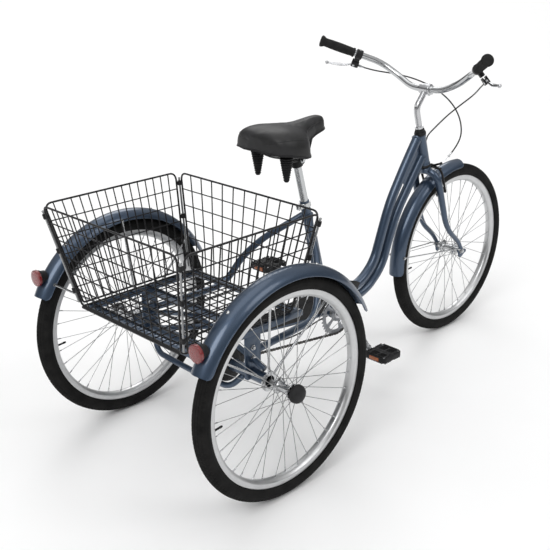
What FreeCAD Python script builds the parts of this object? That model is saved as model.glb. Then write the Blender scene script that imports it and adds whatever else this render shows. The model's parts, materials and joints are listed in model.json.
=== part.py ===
import FreeCAD, Part
import math
import os

import Sketcher
from FreeCAD import Placement, Rotation, Vector

# Adult tricycle: one steered 26-inch wheel in front, two 26-inch wheels on a split axle behind.
# Frame: millimetres, +X forward, +Y to the rider's left, +Z up, origin on the floor half way along.

DIMENSIONS = {
    "half_base": 637.0, "half_track": 366.0, "wheel_radius": 330.0, "tyre_section": 25.0,
    "tyre_wall": 4.5, "rim_outer": 288.0, "rim_inner": 266.0, "rim_half": 16.0,
    "spoke_radius": 1.0, "flange_radius": 23.0, "flange_offset": 27.0, "hub_radius": 13.0,
    "front_axle_radius": 5.0, "rear_axle_radius": 8.5, "running_gap": 0.05,
    "head_angle": 17.0, "head_x": 455.0, "head_z": 685.0, "head_length": 118.0,
    "head_radius": 19.0, "steerer_radius": 12.7, "steerer_bore": 11.3, "blade_radius": 12.0,
    "main_radius": 17.0, "main_wall": 2.0, "seat_tube_radius": 19.0, "seat_mast_radius": 15.9,
    "seat_post_radius": 12.7, "seat_angle": 14.95, "crank_x": -72.0, "crank_z": 285.0,
    "shell_radius": 20.0, "shell_half": 34.0, "spindle_radius": 8.5, "crank_length": 170.0,
    "crank_droop": 56.0, "crank_offset": 112.0, "pedal_offset": 180.0,
    "chain_line": 52.0, "chain_pitch": 12.7, "ring_teeth": 36.0, "cog_teeth": 20.0,
    "bar_radius": 11.1, "clamp_x": 437.0, "clamp_z": 970.0, "grip_radius": 16.0,
    "rear_fender_radius": 356.0, "front_fender_radius": 349.0, "fender_thickness": 1.6,
    "rear_fender_half": 36.0, "front_fender_half": 31.0, "fender_drop": 26.0,
    "basket_rim": 783.0, "basket_floor_z": 480.0, "wire_radius": 1.6, "rod_radius": 3.2,
    "stay_radius": 11.0, "housing_radius": 18.0, "housing_bore": 15.0,
    "cable_radius": 2.5, "saddle_length": 288.0, "saddle_width": 236.0,
    "pedal_length": 98.0, "pedal_width": 88.0, "pedal_height": 26.0,
    "eyelet_radius": 2.5, "lever_drop": 50.0, "cap_radius": 27.0, "cap_length": 28.0, "drum_radius": 48.0,
}

doc = FreeCAD.newDocument("tricycle")
sheet = doc.addObject("Spreadsheet::Sheet", "Sizes")
for row, (alias, value) in enumerate(DIMENSIONS.items(), start=1):
    sheet.set(f"A{row}", alias)
    sheet.set(f"B{row}", str(value))
    sheet.setAlias(f"B{row}", alias)
doc.recompute()


def size(alias):
    """The value of one driving dimension, read back from the sheet."""
    return float(getattr(sheet, alias))


parts = []
X_AXIS = Vector(1, 0, 0)
Y_AXIS = Vector(0, 1, 0)
Z_AXIS = Vector(0, 0, 1)
FRONT = Vector(size("half_base"), 0, size("wheel_radius"))
REAR = Vector(-size("half_base"), 0, size("wheel_radius"))
TRACK = size("half_track")
CRANK = Vector(size("crank_x"), 0, size("crank_z"))
HEAD_LOW = Vector(size("head_x"), 0, size("head_z"))
STEER = Vector(-math.sin(math.radians(size("head_angle"))), 0, math.cos(math.radians(size("head_angle"))))
SEAT = Vector(-math.sin(math.radians(size("seat_angle"))), 0, math.cos(math.radians(size("seat_angle"))))
RIGHT = -1
LEFT = 1
SIDES = (RIGHT, LEFT)


def keep(item, label):
    """Registers a finished sub-part under its node name."""
    item.Label = label
    parts.append(item)
    return item


def plane(body, role):
    return next(f for f in body.Origin.OriginFeatures if f.Role == role)


def new_body(label, placement=None):
    body = doc.addObject("PartDesign::Body", label)
    if placement is not None:
        body.Placement = placement
    return keep(body, label)


def new_sketch(body, role, name):
    sketch = body.newObject("Sketcher::SketchObject", name)
    sketch.AttachmentSupport = [(plane(body, role), "")]
    sketch.MapMode = "FlatFace"
    return sketch


def circle(sketch, radius_expression, at=Vector(), fallback=10.0):
    """A circle whose radius follows an expression of the sheet."""
    index = sketch.addGeometry(Part.Circle(at, Z_AXIS, fallback), False)
    constraint = sketch.addConstraint(Sketcher.Constraint("Radius", index, fallback))
    sketch.setExpression(f"Constraints[{constraint}]", radius_expression)
    if at.Length < 1e-9:
        sketch.addConstraint(Sketcher.Constraint("Coincident", index, 3, -1, 1))
    return index


def turned(direction, at):
    """Placement that lays a local +Z along a direction."""
    return Placement(at, Rotation(Z_AXIS, direction))


def rod_body(label, outer, length, placement, bore=None, midplane=False):
    """A round bar or tube padded from concentric circles; outer, bore and length are expressions."""
    body = new_body(label, placement)
    sketch = new_sketch(body, "XY_Plane", label + "_section")
    circle(sketch, outer, fallback=10.0)
    if bore:
        circle(sketch, bore, fallback=5.0)
    pad = body.newObject("PartDesign::Pad", label + "_pad")
    pad.Profile = sketch
    pad.setExpression("Length", length)
    pad.Midplane = midplane
    return body


def outline(sketch, points):
    """Closed outline of straight edges, joined end to end."""
    count = len(points)
    for index in range(count):
        start = points[index]
        end = points[(index + 1) % count]
        sketch.addGeometry(Part.LineSegment(Vector(*start, 0), Vector(*end, 0)), False)
    for index in range(count):
        sketch.addConstraint(Sketcher.Constraint("Coincident", index, 2, (index + 1) % count, 1))


def turned_body(label, points, placement):
    """A piece revolved about its local Z axis from (radius, height) corners."""
    body = new_body(label, placement)
    sketch = new_sketch(body, "XZ_Plane", label + "_profile")
    outline(sketch, points)
    revolution = body.newObject("PartDesign::Revolution", label + "_revolution")
    revolution.Profile = sketch
    revolution.ReferenceAxis = (sketch, ["V_Axis"])
    revolution.Angle = 360.0
    return body


def plate_body(label, points, thickness, placement):
    """A flat plate padded from straight-edged corners."""
    body = new_body(label, placement)
    sketch = new_sketch(body, "XY_Plane", label + "_outline")
    outline(sketch, points)
    pad = body.newObject("PartDesign::Pad", label + "_pad")
    pad.Profile = sketch
    pad.Length = thickness
    pad.Midplane = True
    return body


def shape_part(label, shape):
    """A piece whose shape comes straight from Part functions."""
    feature = doc.addObject("Part::Feature", label)
    feature.Shape = shape
    return keep(feature, label)


def compound(label, shapes):
    return shape_part(label, Part.makeCompound(shapes))


def bend_arc(before, corner, after, share=0.45):
    """Tangent arc at a corner: its two ends and its middle."""
    back = before - corner
    ahead = after - corner
    reach = share * min(back.Length, ahead.Length)
    turn = math.pi - back.getAngle(ahead)
    if turn < 1e-4:
        return None
    radius = reach / math.tan(turn / 2)
    start = corner + back.normalize() * reach
    end = corner + ahead.normalize() * reach
    towards = (back + ahead).normalize()
    middle = corner + towards * (math.hypot(radius, reach) - radius)
    return start, middle, end


def bent_wire(points, share=0.45):
    """Straight runs joined by tangent arcs through a list of corners."""
    edges = []
    here = points[0]
    for index in range(1, len(points) - 1):
        arc = bend_arc(points[index - 1], points[index], points[index + 1], share)
        if arc is None:
            continue
        start, middle, end = arc
        if (start - here).Length > 1e-3:
            edges.append(Part.LineSegment(here, start).toShape())
        edges.append(Part.Arc(start, middle, end).toShape())
        here = end
    edges.append(Part.LineSegment(here, points[-1]).toShape())
    return Part.Wire(edges)


def bent_rod(points, radius, share=0.45):
    """A round bar swept along bent runs."""
    path = bent_wire(points, share)
    heading = (points[1] - points[0]).normalize()
    section = Part.Wire([Part.Circle(points[0], heading, radius).toShape()])
    return path.makePipeShell([section], True, False)


def bent_tube(points, radius, wall, share=0.45):
    """A round tube swept along bent runs."""
    return bent_rod(points, radius, share).cut(bent_rod(points, radius - wall, share))


def cylinder(start, end, radius):
    run = end - start
    return Part.makeCylinder(radius, run.Length, start, run)


def pipe_ring(centre, direction, outer, inner, width):
    """A ring centred on a point, along a direction."""
    axis = Vector(direction).normalize()
    base = centre - axis * (width / 2)
    return Part.makeCylinder(outer, width, base, axis).cut(Part.makeCylinder(inner, width, base, axis))


def block(low, high):
    return Part.makeBox(high.x - low.x, high.y - low.y, high.z - low.z, low)


def around(centre, radius, degrees, y=0.0):
    """A point on a circle in the plane of a wheel."""
    turn = math.radians(degrees)
    return centre + Vector(radius * math.cos(turn), y, radius * math.sin(turn))


def lower_tip():
    """Crank end on the right-hand side, forward and down."""
    turn = math.radians(-size("crank_droop"))
    return Vector(size("crank_length") * math.cos(turn), 0, size("crank_length") * math.sin(turn))


# ---- wheels ------------------------------------------------------------------------------

def wheel_placement(centre):
    return turned(Y_AXIS, centre)


def make_tyre(label, centre):
    """Open tyre carcass: a C-shaped section turned about the axle."""
    ring = size("wheel_radius") - size("tyre_section")
    outer = size("tyre_section")
    inner = outer - size("tyre_wall")
    drop = ring - size("rim_outer")
    wide = math.sqrt(outer ** 2 - drop ** 2)
    narrow = math.sqrt(inner ** 2 - drop ** 2)
    body = new_body(label, wheel_placement(centre))
    sketch = new_sketch(body, "XZ_Plane", label + "_profile")
    edge = ring - drop
    outside = Part.Arc(Vector(edge, -wide, 0), Vector(ring + outer, 0, 0), Vector(edge, wide, 0))
    inside = Part.Arc(Vector(edge, -narrow, 0), Vector(ring + inner, 0, 0), Vector(edge, narrow, 0))
    sketch.addGeometry(outside, False)
    sketch.addGeometry(inside, False)
    for side in (-1, 1):
        start = Vector(edge, side * wide, 0)
        end = Vector(edge, side * narrow, 0)
        sketch.addGeometry(Part.LineSegment(start, end), False)
    revolution = body.newObject("PartDesign::Revolution", label + "_revolution")
    revolution.Profile = sketch
    revolution.ReferenceAxis = (sketch, ["V_Axis"])
    revolution.Angle = 360.0


def make_rim(label, centre):
    """Channel rim: two side walls on a tapered bed."""
    top = size("rim_outer")
    low = size("rim_inner")
    half = size("rim_half")
    profile = [(top, -half), (low + 9, -half), (low, -8), (low, 8), (low + 9, half), (top, half),
               (top, half - 2.5), (low + 10.5, half - 2.5), (low + 2.5, 6.5), (low + 2.5, -6.5),
               (low + 10.5, 2.5 - half), (top, 2.5 - half)]
    turned_body(label, profile, wheel_placement(centre))


def make_spokes(label, centre, count=36):
    """Crossed spokes from two flanges to the rim bed, each one straight."""
    shapes = []
    step = 360.0 / count
    for index in range(count):
        side = 1 if index % 2 else -1
        lead = 1 if (index // 2) % 2 else -1
        rim_turn = index * step
        hub_turn = rim_turn + lead * 58.0
        hub_y = side * (size("flange_offset") + 2.0 * lead)
        start = around(centre, size("flange_radius") - 4.0, hub_turn, hub_y)
        end = around(centre, size("rim_inner"), rim_turn, side * 3.0)
        shapes.append(cylinder(start, end, size("spoke_radius")))
    compound(label, shapes)


def hub_profile(half, bore):
    """(radius, height) outline of a flanged hub shell."""
    flange = size("flange_radius")
    barrel = size("hub_radius")
    at = size("flange_offset")
    return [(bore, -half), (barrel - 2, -half), (barrel, -at - 6), (barrel, -at - 1.5), (flange, -at - 1.5),
            (flange, -at + 1.5), (barrel, -at + 1.5), (barrel, at - 1.5), (flange, at - 1.5),
            (flange, at + 1.5), (barrel, at + 1.5), (barrel, at + 6), (barrel - 2, half), (bore, half)]


def make_wheels():
    wheels = {"front": FRONT, "right": REAR + Vector(0, -TRACK, 0), "left": REAR + Vector(0, TRACK, 0)}
    for name, centre in wheels.items():
        make_tyre(name + "_tyre", centre)
        make_rim(name + "_rim", centre)
        make_spokes(name + "_spokes", centre)
    front_bore = size("front_axle_radius") + size("running_gap")
    turned_body("front_hub", hub_profile(46.0, front_bore), wheel_placement(FRONT))
    rear_bore = size("rear_axle_radius")
    for name, side in (("right", RIGHT), ("left", LEFT)):
        centre = REAR + Vector(0, side * TRACK, 0)
        turned_body(name + "_hub", hub_profile(33.0, rear_bore), turned(Y_AXIS * side, centre))


def make_axle_caps():
    """Black domed nuts on the outer ends of the rear axle."""
    shapes = []
    for side in SIDES:
        cap = size("cap_radius")
        base = REAR + Vector(0, side * (TRACK + 34), 0)
        dome = Part.makeSphere(cap, base + Vector(0, side * 6, 0))
        slab = Part.makeCylinder(cap, size("cap_length"), base, Y_AXIS * side)
        shapes.append(dome.common(slab))
    return shapes


# ---- rear axle and drive --------------------------------------------------------------------

def make_rear_axle():
    """Right half carries the sprocket and drum; the left half is a separate stub."""
    axle = size("rear_axle_radius")
    right_cap, left_cap = make_axle_caps()
    drive = cylinder(REAR + Vector(0, -TRACK - 34, 0), REAR + Vector(0, -2, 0), axle)
    drum = brake_drum().cut(drive)
    compound("drive_axle", [drive, right_cap, drum])
    stub = cylinder(REAR + Vector(0, 2, 0), REAR + Vector(0, TRACK + 34, 0), axle)
    compound("left_axle", [stub, left_cap])
    bore = axle + size("running_gap")
    shell = size("housing_bore")
    rings = []
    for y in (-298.0, -160.0, 30.0, 298.0):
        rings.append(pipe_ring(REAR + Vector(0, y, 0), Y_AXIS, shell, bore, 12.0))
    compound("axle_bearings", rings)


def brake_drum():
    """Cup-shaped brake drum, open towards the middle of the axle."""
    outer = size("drum_radius")
    start = REAR + Vector(0, -126.0, 0)
    cup = Part.makeCylinder(outer, 28.0, start, Y_AXIS)
    hollow = Part.makeCylinder(outer - 4.0, 24.0, start + Y_AXIS * 4, Y_AXIS)
    return cup.cut(hollow).fuse(Part.makeCylinder(16.0, 22.0, start, Y_AXIS))


def pitch_radius(teeth):
    return size("chain_pitch") / (2 * math.sin(math.pi / teeth))


def toothed_disc(teeth, thickness, bore):
    """Flat sprocket with one bump for each tooth."""
    root = pitch_radius(teeth) - 4.2
    points = []
    for index in range(int(teeth)):
        turn = 2 * math.pi * index / teeth
        for share, radius in ((-0.30, root), (-0.13, root + 6.5), (0.13, root + 6.5), (0.30, root)):
            angle = turn + share * 2 * math.pi / teeth
            points.append(Vector(radius * math.cos(angle), radius * math.sin(angle), 0))
    points.append(points[0])
    face = Part.Face(Part.makePolygon(points))
    disc = face.extrude(Vector(0, 0, thickness))
    disc.translate(Vector(0, 0, -thickness / 2))
    return disc.cut(Part.makeCylinder(bore, thickness * 2, Vector(0, 0, -thickness)))


def make_sprockets():
    line = Vector(0, -size("chain_line"), 0)
    ring = toothed_disc(size("ring_teeth"), 3.0, size("spindle_radius") + 7.5)
    window = Part.makeCylinder(13.0, 12.0, Vector(44.0, 0, -6.0))
    for index in range(5):
        hole = window.copy()
        hole.rotate(Vector(), Z_AXIS, index * 72.0 + 20.0)
        ring = ring.cut(hole)
    ring.Placement = turned(Y_AXIS, CRANK + line)
    shape_part("chainring", ring)
    bore = size("rear_axle_radius") + size("running_gap")
    cog = toothed_disc(size("cog_teeth"), 3.0, bore)
    boss = Part.makeCylinder(24.0, 16.0, Vector(0, 0, -14.0)).cut(Part.makeCylinder(bore, 20.0, Vector(0, 0, -16)))
    cog = cog.fuse(boss).removeSplitter()
    cog.Placement = turned(Y_AXIS, REAR + line)
    shape_part("axle_sprocket", cog)


def chain_loop(offset):
    """Closed belt-shaped wire round both sprockets, offset from the pitch line."""
    big = pitch_radius(size("ring_teeth")) + offset
    small = pitch_radius(size("cog_teeth")) + offset
    line = Vector(0, -size("chain_line"), 0)
    run = CRANK - REAR
    span = run.Length
    tilt = math.atan2(run.z, run.x)
    lean = math.asin((big - small) / span)
    up = tilt + math.pi / 2 + lean
    down = tilt - math.pi / 2 - lean

    def on(centre, radius, angle):
        return centre + line + Vector(radius * math.cos(angle), 0, radius * math.sin(angle))
    front_top = on(CRANK, big, up)
    front_low = on(CRANK, big, down)
    rear_top = on(REAR, small, up)
    rear_low = on(REAR, small, down)
    return Part.Wire([
        Part.LineSegment(rear_top, front_top).toShape(),
        Part.Arc(front_top, on(CRANK, big, tilt), front_low).toShape(),
        Part.LineSegment(front_low, rear_low).toShape(),
        Part.Arc(rear_low, on(REAR, small, tilt + math.pi), rear_top).toShape(),
    ])


def make_chain():
    """The chain stands for its link plates on both sides of the teeth."""
    plates = []
    for y in (-3.6, 2.4):
        outer = Part.Face(chain_loop(4.0))
        inner = Part.Face(chain_loop(-4.0))
        belt = outer.cut(inner).extrude(Vector(0, 1.2, 0))
        belt.translate(Vector(0, y, 0))
        plates.append(belt)
    compound("drive_chain", plates)


def make_chain_guard():
    """Guard plate over the top run of the chain, on the outside."""
    y = -size("chain_line") - 11.0
    top = [(30, 372), (-20, 392), (-90, 397), (-260, 400), (-470, 392), (-505, 384),
           (-505, 352), (-470, 342), (-260, 322), (-165, 318), (-128, 338), (-90, 350), (-40, 346), (0, 330)]
    placement = Placement(Vector(0, y, 0), Rotation(X_AXIS, 90))
    plate_body("chain_guard", top, 2.0, placement)


def make_crankset():
    tip = lower_tip()
    crank = size("crank_offset")
    spindle = size("spindle_radius")
    half = size("shell_half")
    shapes = [cylinder(CRANK + Vector(0, -crank + 7, 0), CRANK + Vector(0, crank - 7, 0), spindle)]
    spider = Part.makeCylinder(spindle + 7.5, 12.0, CRANK + Vector(0, -size("chain_line") - 6, 0), Y_AXIS)
    arms = [shapes[0].fuse(spider)]
    for side in SIDES:
        y = side * crank
        end = CRANK + tip * (-side) + Vector(0, y, 0)
        start = CRANK + Vector(0, y, 0)
        arm = bent_bar(start, end)
        arm = arm.fuse(Part.makeCylinder(16.0, 16.0, start - Y_AXIS * 8, Y_AXIS))
        arm = arm.fuse(Part.makeCylinder(12.0, 14.0, end - Y_AXIS * 7, Y_AXIS))
        arm = arm.cut(Part.makeCylinder(spindle, 15.0, start - Y_AXIS * (7.0 + side * 1.0) - Y_AXIS * 0.5, Y_AXIS))
        reach = size("pedal_offset") - crank + size("pedal_width") / 2 - 6.0
        pin = cylinder(end, end + Vector(0, side * reach, 0), 4.0)
        arms.append(arm.fuse(pin))
    compound("crank_arms", arms)
    rings = []
    for side in SIDES:
        centre = CRANK + Vector(0, side * (half - 5), 0)
        rings.append(pipe_ring(centre, Y_AXIS, size("shell_radius") - 2.5, spindle + size("running_gap"), 10.0))
    compound("bottom_bracket_bearings", rings)


def bent_bar(start, end):
    """Flat crank bar between two bosses."""
    run = end - start
    bar = Part.makeBox(run.Length, 12.0, 20.0, Vector(0, -6.0, -10.0))
    angle = -math.degrees(math.atan2(run.z, run.x))
    bar.Placement = Placement(start, Rotation(Y_AXIS, angle))
    return bar


def make_pedals():
    """Platform pedals with an open middle each side of the axle barrel."""
    tip = lower_tip()
    for name, side in (("right_pedal", RIGHT), ("left_pedal", LEFT)):
        centre = CRANK + tip * (-side) + Vector(0, side * size("pedal_offset"), 0)
        half = Vector(size("pedal_length") / 2, size("pedal_width") / 2, size("pedal_height") / 2)
        body = block(centre - half, centre + half)
        for end in (-1, 1):
            low = centre + Vector(end * 24 - 13, -30, -20)
            body = body.cut(block(low, low + Vector(26, 60, 40)))
        edges = [e for e in body.Edges if abs(e.Length - size("pedal_height")) < 0.1 and abs(abs(
            e.CenterOfMass.x - centre.x) - half.x) < 0.1]
        body = body.makeFillet(12.0, edges)
        start = centre - Vector(0, side * half.y, 0)
        bore = cylinder(start - Vector(0, side, 0), start + Vector(0, side * (size("pedal_width") - 2), 0), 4.05)
        shape_part(name, body.cut(bore))


# ---- frame -------------------------------------------------------------------------------

UPPER_TUBE = [Vector(401, 0, 803), Vector(335, 0, 712), Vector(255, 0, 590), Vector(212, 0, 480), Vector(178, 0, 390),
              Vector(100, 0, 330), Vector(-60, 0, 322)]
LOWER_TUBE = [Vector(437, 0, 735), Vector(372, 0, 650), Vector(302, 0, 560), Vector(258, 0, 465), Vector(222, 0, 365),
              Vector(130, 0, 292), Vector(-50, 0, 285)]
MAST_TOP = CRANK + SEAT * 425.0


def solid_tube(points, radius, wall, cutters):
    tube = bent_rod(points, radius)
    for cutter in cutters:
        tube = tube.cut(cutter)
    inner = bent_rod(points, radius - wall)
    return tube.cut(inner)


def along_head(distance):
    return HEAD_LOW + STEER * distance


def make_front_frame():
    head = size("head_length")
    rod_body("head_tube", "Sizes.head_radius", "Sizes.head_length", turned(STEER, along_head(14.0)),
             bore="Sizes.head_radius - 2.4")
    head_cutter = cylinder(along_head(0), along_head(head + 40), size("head_radius"))
    shell = Part.makeCylinder(size("shell_radius"), 2 * size("shell_half"), CRANK - Y_AXIS * size("shell_half"), Y_AXIS)
    seat_cutter = cylinder(CRANK, MAST_TOP, size("seat_tube_radius"))
    radius = size("main_radius")
    wall = size("main_wall")
    upper = solid_tube(UPPER_TUBE, radius, wall, [head_cutter, seat_cutter, shell])
    lower = solid_tube(LOWER_TUBE, radius, wall, [head_cutter, seat_cutter, shell, bent_rod(UPPER_TUBE, radius)])
    shape_part("upper_main_tube", largest(upper))
    shape_part("lower_main_tube", largest(lower))
    ring = turned(Y_AXIS, CRANK - Y_AXIS * size("shell_half"))
    rod_body("bottom_bracket_shell", "Sizes.shell_radius", "2 * Sizes.shell_half", ring,
             bore="Sizes.shell_radius - 2.5")
    tube = cylinder(CRANK, CRANK + SEAT * 285.0, size("seat_tube_radius"))
    mast = cylinder(CRANK + SEAT * 285.0, MAST_TOP, size("seat_mast_radius"))
    bore = cylinder(CRANK + SEAT * 40.0, MAST_TOP + SEAT * 5, size("seat_post_radius") + size("running_gap"))
    shape_part("seat_tube", tube.fuse(mast).cut(bore).cut(shell))
    clamp_at = MAST_TOP - SEAT * 12.0
    clamp = pipe_ring(clamp_at, SEAT, size("seat_mast_radius") + 3.5, size("seat_mast_radius"), 16.0)
    ear = block(Vector(-12, -7, -8), Vector(12, 7, 8))
    ear.Placement = turned(SEAT, clamp_at - SEAT.cross(Y_AXIS).normalize() * -25.0)
    mast_core = cylinder(clamp_at - SEAT * 30, clamp_at + SEAT * 30, size("seat_mast_radius"))
    shape_part("seat_clamp", clamp.fuse(ear.cut(mast_core)))
    cups = [pipe_ring(along_head(8.0), STEER, 20.5, size("steerer_radius") + size("running_gap"), 12.0),
            pipe_ring(along_head(head + 21.0), STEER, 21.5, size("steerer_radius") + size("running_gap"), 14.0)]
    compound("headset_cups", cups)


def largest(shape):
    return max(shape.Solids, key=lambda solid: solid.Volume)


def make_rear_frame():
    """Stays, axle housing, side plates, rails that carry the basket."""
    mast = cylinder(CRANK, MAST_TOP + SEAT * 20, size("seat_mast_radius"))
    stay = size("stay_radius")
    plates_at = 235.0
    stays = []
    for side in SIDES:
        top = MAST_TOP - SEAT * 52.0
        points = [top + Vector(0, side * 6, 0), Vector(-208, side * 52, 610), Vector(-248, side * 118, 560),
                  Vector(-298, side * 172, 492), Vector(-345, side * 206, 400), Vector(-480, side * 214, 394),
                  Vector(-612, side * 226, 394)]
        stays.append(largest(bent_rod(points, stay).cut(mast).cut(bent_rod(points, stay - 1.6))))
    compound("seat_stays", stays)
    shell = Part.makeCylinder(size("shell_radius"), 2 * size("shell_half"), CRANK - Y_AXIS * size("shell_half"), Y_AXIS)
    lower_stays = []
    for side in SIDES:
        start = CRANK + Vector(-8, side * 22, 0)
        points = [start, Vector(-240, side * 24, 296), Vector(-440, side * 78, 318), Vector(-627, side * 206, 328)]
        if side == RIGHT:
            points = [start, Vector(-240, -20, 296), Vector(-420, -14, 318), Vector(-627, -16, 328)]
        housing = cylinder(REAR - Y_AXIS * 330, REAR + Y_AXIS * 330, size("housing_radius"))
        lower_stays.append(largest(bent_rod(points, 9.5).cut(shell).cut(housing)))
    outer = size("housing_radius")
    bore = size("housing_bore")
    housings = []
    for low, high in ((-304.0, -152.0), (-28.0, 36.0), (60.0, 304.0)):
        length = high - low
        start = REAR + Y_AXIS * low
        housings.append(Part.makeCylinder(outer, length, start, Y_AXIS).cut(Part.makeCylinder(bore, length, start, Y_AXIS)))
    tube = housings[0].fuse(housings[1]).fuse(housings[2])
    core = cylinder(REAR - Y_AXIS * 330, REAR + Y_AXIS * 330, outer - 0.5)
    for side in SIDES:
        plate = block(Vector(-667, side * plates_at - 3, 322), Vector(-607, side * plates_at + 3, 452))
        tube = tube.fuse(plate.cut(core))
        strut = bent_rod([REAR + Vector(0, side * 288, 30), REAR + Vector(0, side * 110, 84),
                          REAR + Vector(0, 0, 104)], 8.0)
        tube = tube.fuse(strut.cut(core))
    hoop = bent_rod([REAR + Vector(-4, -212, -6), REAR + Vector(-30, -168, -58), REAR + Vector(-34, 0, -62),
                     REAR + Vector(-30, 168, -58), REAR + Vector(-4, 212, -6)], 9.0)
    tube = tube.fuse(hoop.cut(core))
    for side in SIDES:
        rail = block(Vector(-860, side * plates_at - 9, 452), Vector(-440, side * plates_at + 9, 470))
        tube = tube.fuse(rail)
    for x in (-850.0, -640.0, -450.0):
        tube = tube.fuse(block(Vector(x - 9, -plates_at, 452), Vector(x + 9, plates_at, 470)))
    tube = tube.removeSplitter()
    compound("axle_carrier", [tube] + lower_stays)


def make_brake_housing():
    """Band brake cover beside the drum, held by the axle housing."""
    centre = REAR + Vector(0, -140.0, 0)
    cover = Part.makeCylinder(56.0, 4.0, centre, Y_AXIS)
    cover = cover.cut(Part.makeCylinder(size("rear_axle_radius") + 1.0, 4.0, centre, Y_AXIS))
    band = pipe_ring(REAR + Vector(0, -116.0, 0), Y_AXIS, 54.0, size("drum_radius") + 1.5, 40.0)
    lug = block(centre + Vector(-12, 0, 50), centre + Vector(12, 22, 66))
    collar = pipe_ring(REAR + Vector(0, -146.0, 0), Y_AXIS, 15.0, size("rear_axle_radius") + 1.0, 12.0)
    shape_part("band_brake_housing", cover.fuse(band).fuse(lug).fuse(collar).removeSplitter())


# ---- fenders -------------------------------------------------------------------------------

def fender_shape(centre, crown, half, first, last):
    """Curved strip: an arched section turned part of the way round the wheel."""
    drop = size("fender_drop")
    thick = size("fender_thickness")
    outer = Part.Arc(Vector(crown - drop, -half, 0), Vector(crown, 0, 0), Vector(crown - drop, half, 0))
    inner = Part.Arc(Vector(crown - drop, -half + thick, 0), Vector(crown - thick, 0, 0),
                     Vector(crown - drop, half - thick, 0))
    edges = [outer.toShape(), inner.toShape()]
    for side in (-1, 1):
        edges.append(Part.LineSegment(Vector(crown - drop, side * half, 0),
                                      Vector(crown - drop, side * (half - thick), 0)).toShape())
    face = Part.Face(Part.Wire(Part.__sortEdges__(edges)))
    solid = face.revolve(Vector(), Y_AXIS, last - first)
    solid.rotate(Vector(), Y_AXIS, -last)
    solid.translate(centre)
    return solid


REAR_FENDER = (26.0, 154.0)
FRONT_FENDER = (86.0, 184.0)


def make_fenders():
    for name, side in (("right_fender", RIGHT), ("left_fender", LEFT)):
        centre = REAR + Vector(0, side * TRACK, 0)
        shape_part(name, fender_shape(centre, size("rear_fender_radius"), size("rear_fender_half"), *REAR_FENDER))
    crown = size("front_fender_radius")
    shape_part("front_fender", fender_shape(FRONT, crown, size("front_fender_half"), *FRONT_FENDER))


def make_fender_stays():
    rods = []
    for side in SIDES:
        inner = side * (TRACK - size("rear_fender_half") - 1.5)
        reach = size("rear_fender_radius") - size("fender_drop") + 8
        for turn in (93.0, 43.0, 145.0):
            top = around(REAR, reach, turn, inner)
            low = around(REAR, 26.0, turn, side * 302.0)
            rods.append(cylinder(low, top, 2.6))
        rods.append(pipe_ring(REAR + Vector(0, side * 302.0, 0), Y_AXIS, 30.0, size("housing_radius"), 3.0))
    stays = []
    for first in (0, 4):
        group = rods[first + 3].fuse(rods[first]).fuse(rods[first + 1]).fuse(rods[first + 2])
        stays.append(group)
    return stays


def make_reflectors():
    lenses = []
    bases = []
    crown = size("rear_fender_radius")
    for side in SIDES:
        at = around(REAR, crown, 143.0, side * TRACK)
        lenses.append(Part.makeCylinder(25.0, 9.0, at + Vector(-24, 0, 0), -X_AXIS))
        base = Part.makeCylinder(21.0, 38.0, at + Vector(-24, 0, 0), X_AXIS)
        fender = fender_shape(REAR + Vector(0, side * TRACK, 0), crown, size("rear_fender_half"), 100.0, 154.0)
        core = Part.makeCylinder(crown - 1.0, 100.0, REAR + Vector(0, side * TRACK - 50, 0), Y_AXIS)
        bases.append(largest(base.cut(core).cut(fender)))
    compound("rear_reflectors", lenses)
    for side in SIDES:
        centre = REAR + Vector(0, side * TRACK, 0)
        for turn in (125.0, 70.0):
            start = around(centre, crown + 0.2, turn)
            outward = (start - centre).normalize()
            bases.append(Part.makeSphere(5.0, start, outward, 0, 90))
    compound("fender_stays", make_fender_stays() + bases)


# ---- steering -------------------------------------------------------------------------------

def eyelet_centre(side):
    """Middle of the threadless eyelet ahead of a dropout, for a carrier or stay bolt."""
    return FRONT + Vector(17.0, side * 53.0, 24.0)


def eyelet_lug(side):
    """Arm and round boss that hold the eyelet on the dropout plate."""
    centre = eyelet_centre(side)
    boss = Part.makeCylinder(7.5, 6.0, centre - Y_AXIS * 3, Y_AXIS)
    arm = Part.makeBox(26.0, 6.0, 11.0, Vector(0, -3.0, -5.5))
    arm.Placement = Placement(FRONT + Y_AXIS * (side * 53.0), Rotation(Y_AXIS, -54.7))
    return boss.fuse(arm)


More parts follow.
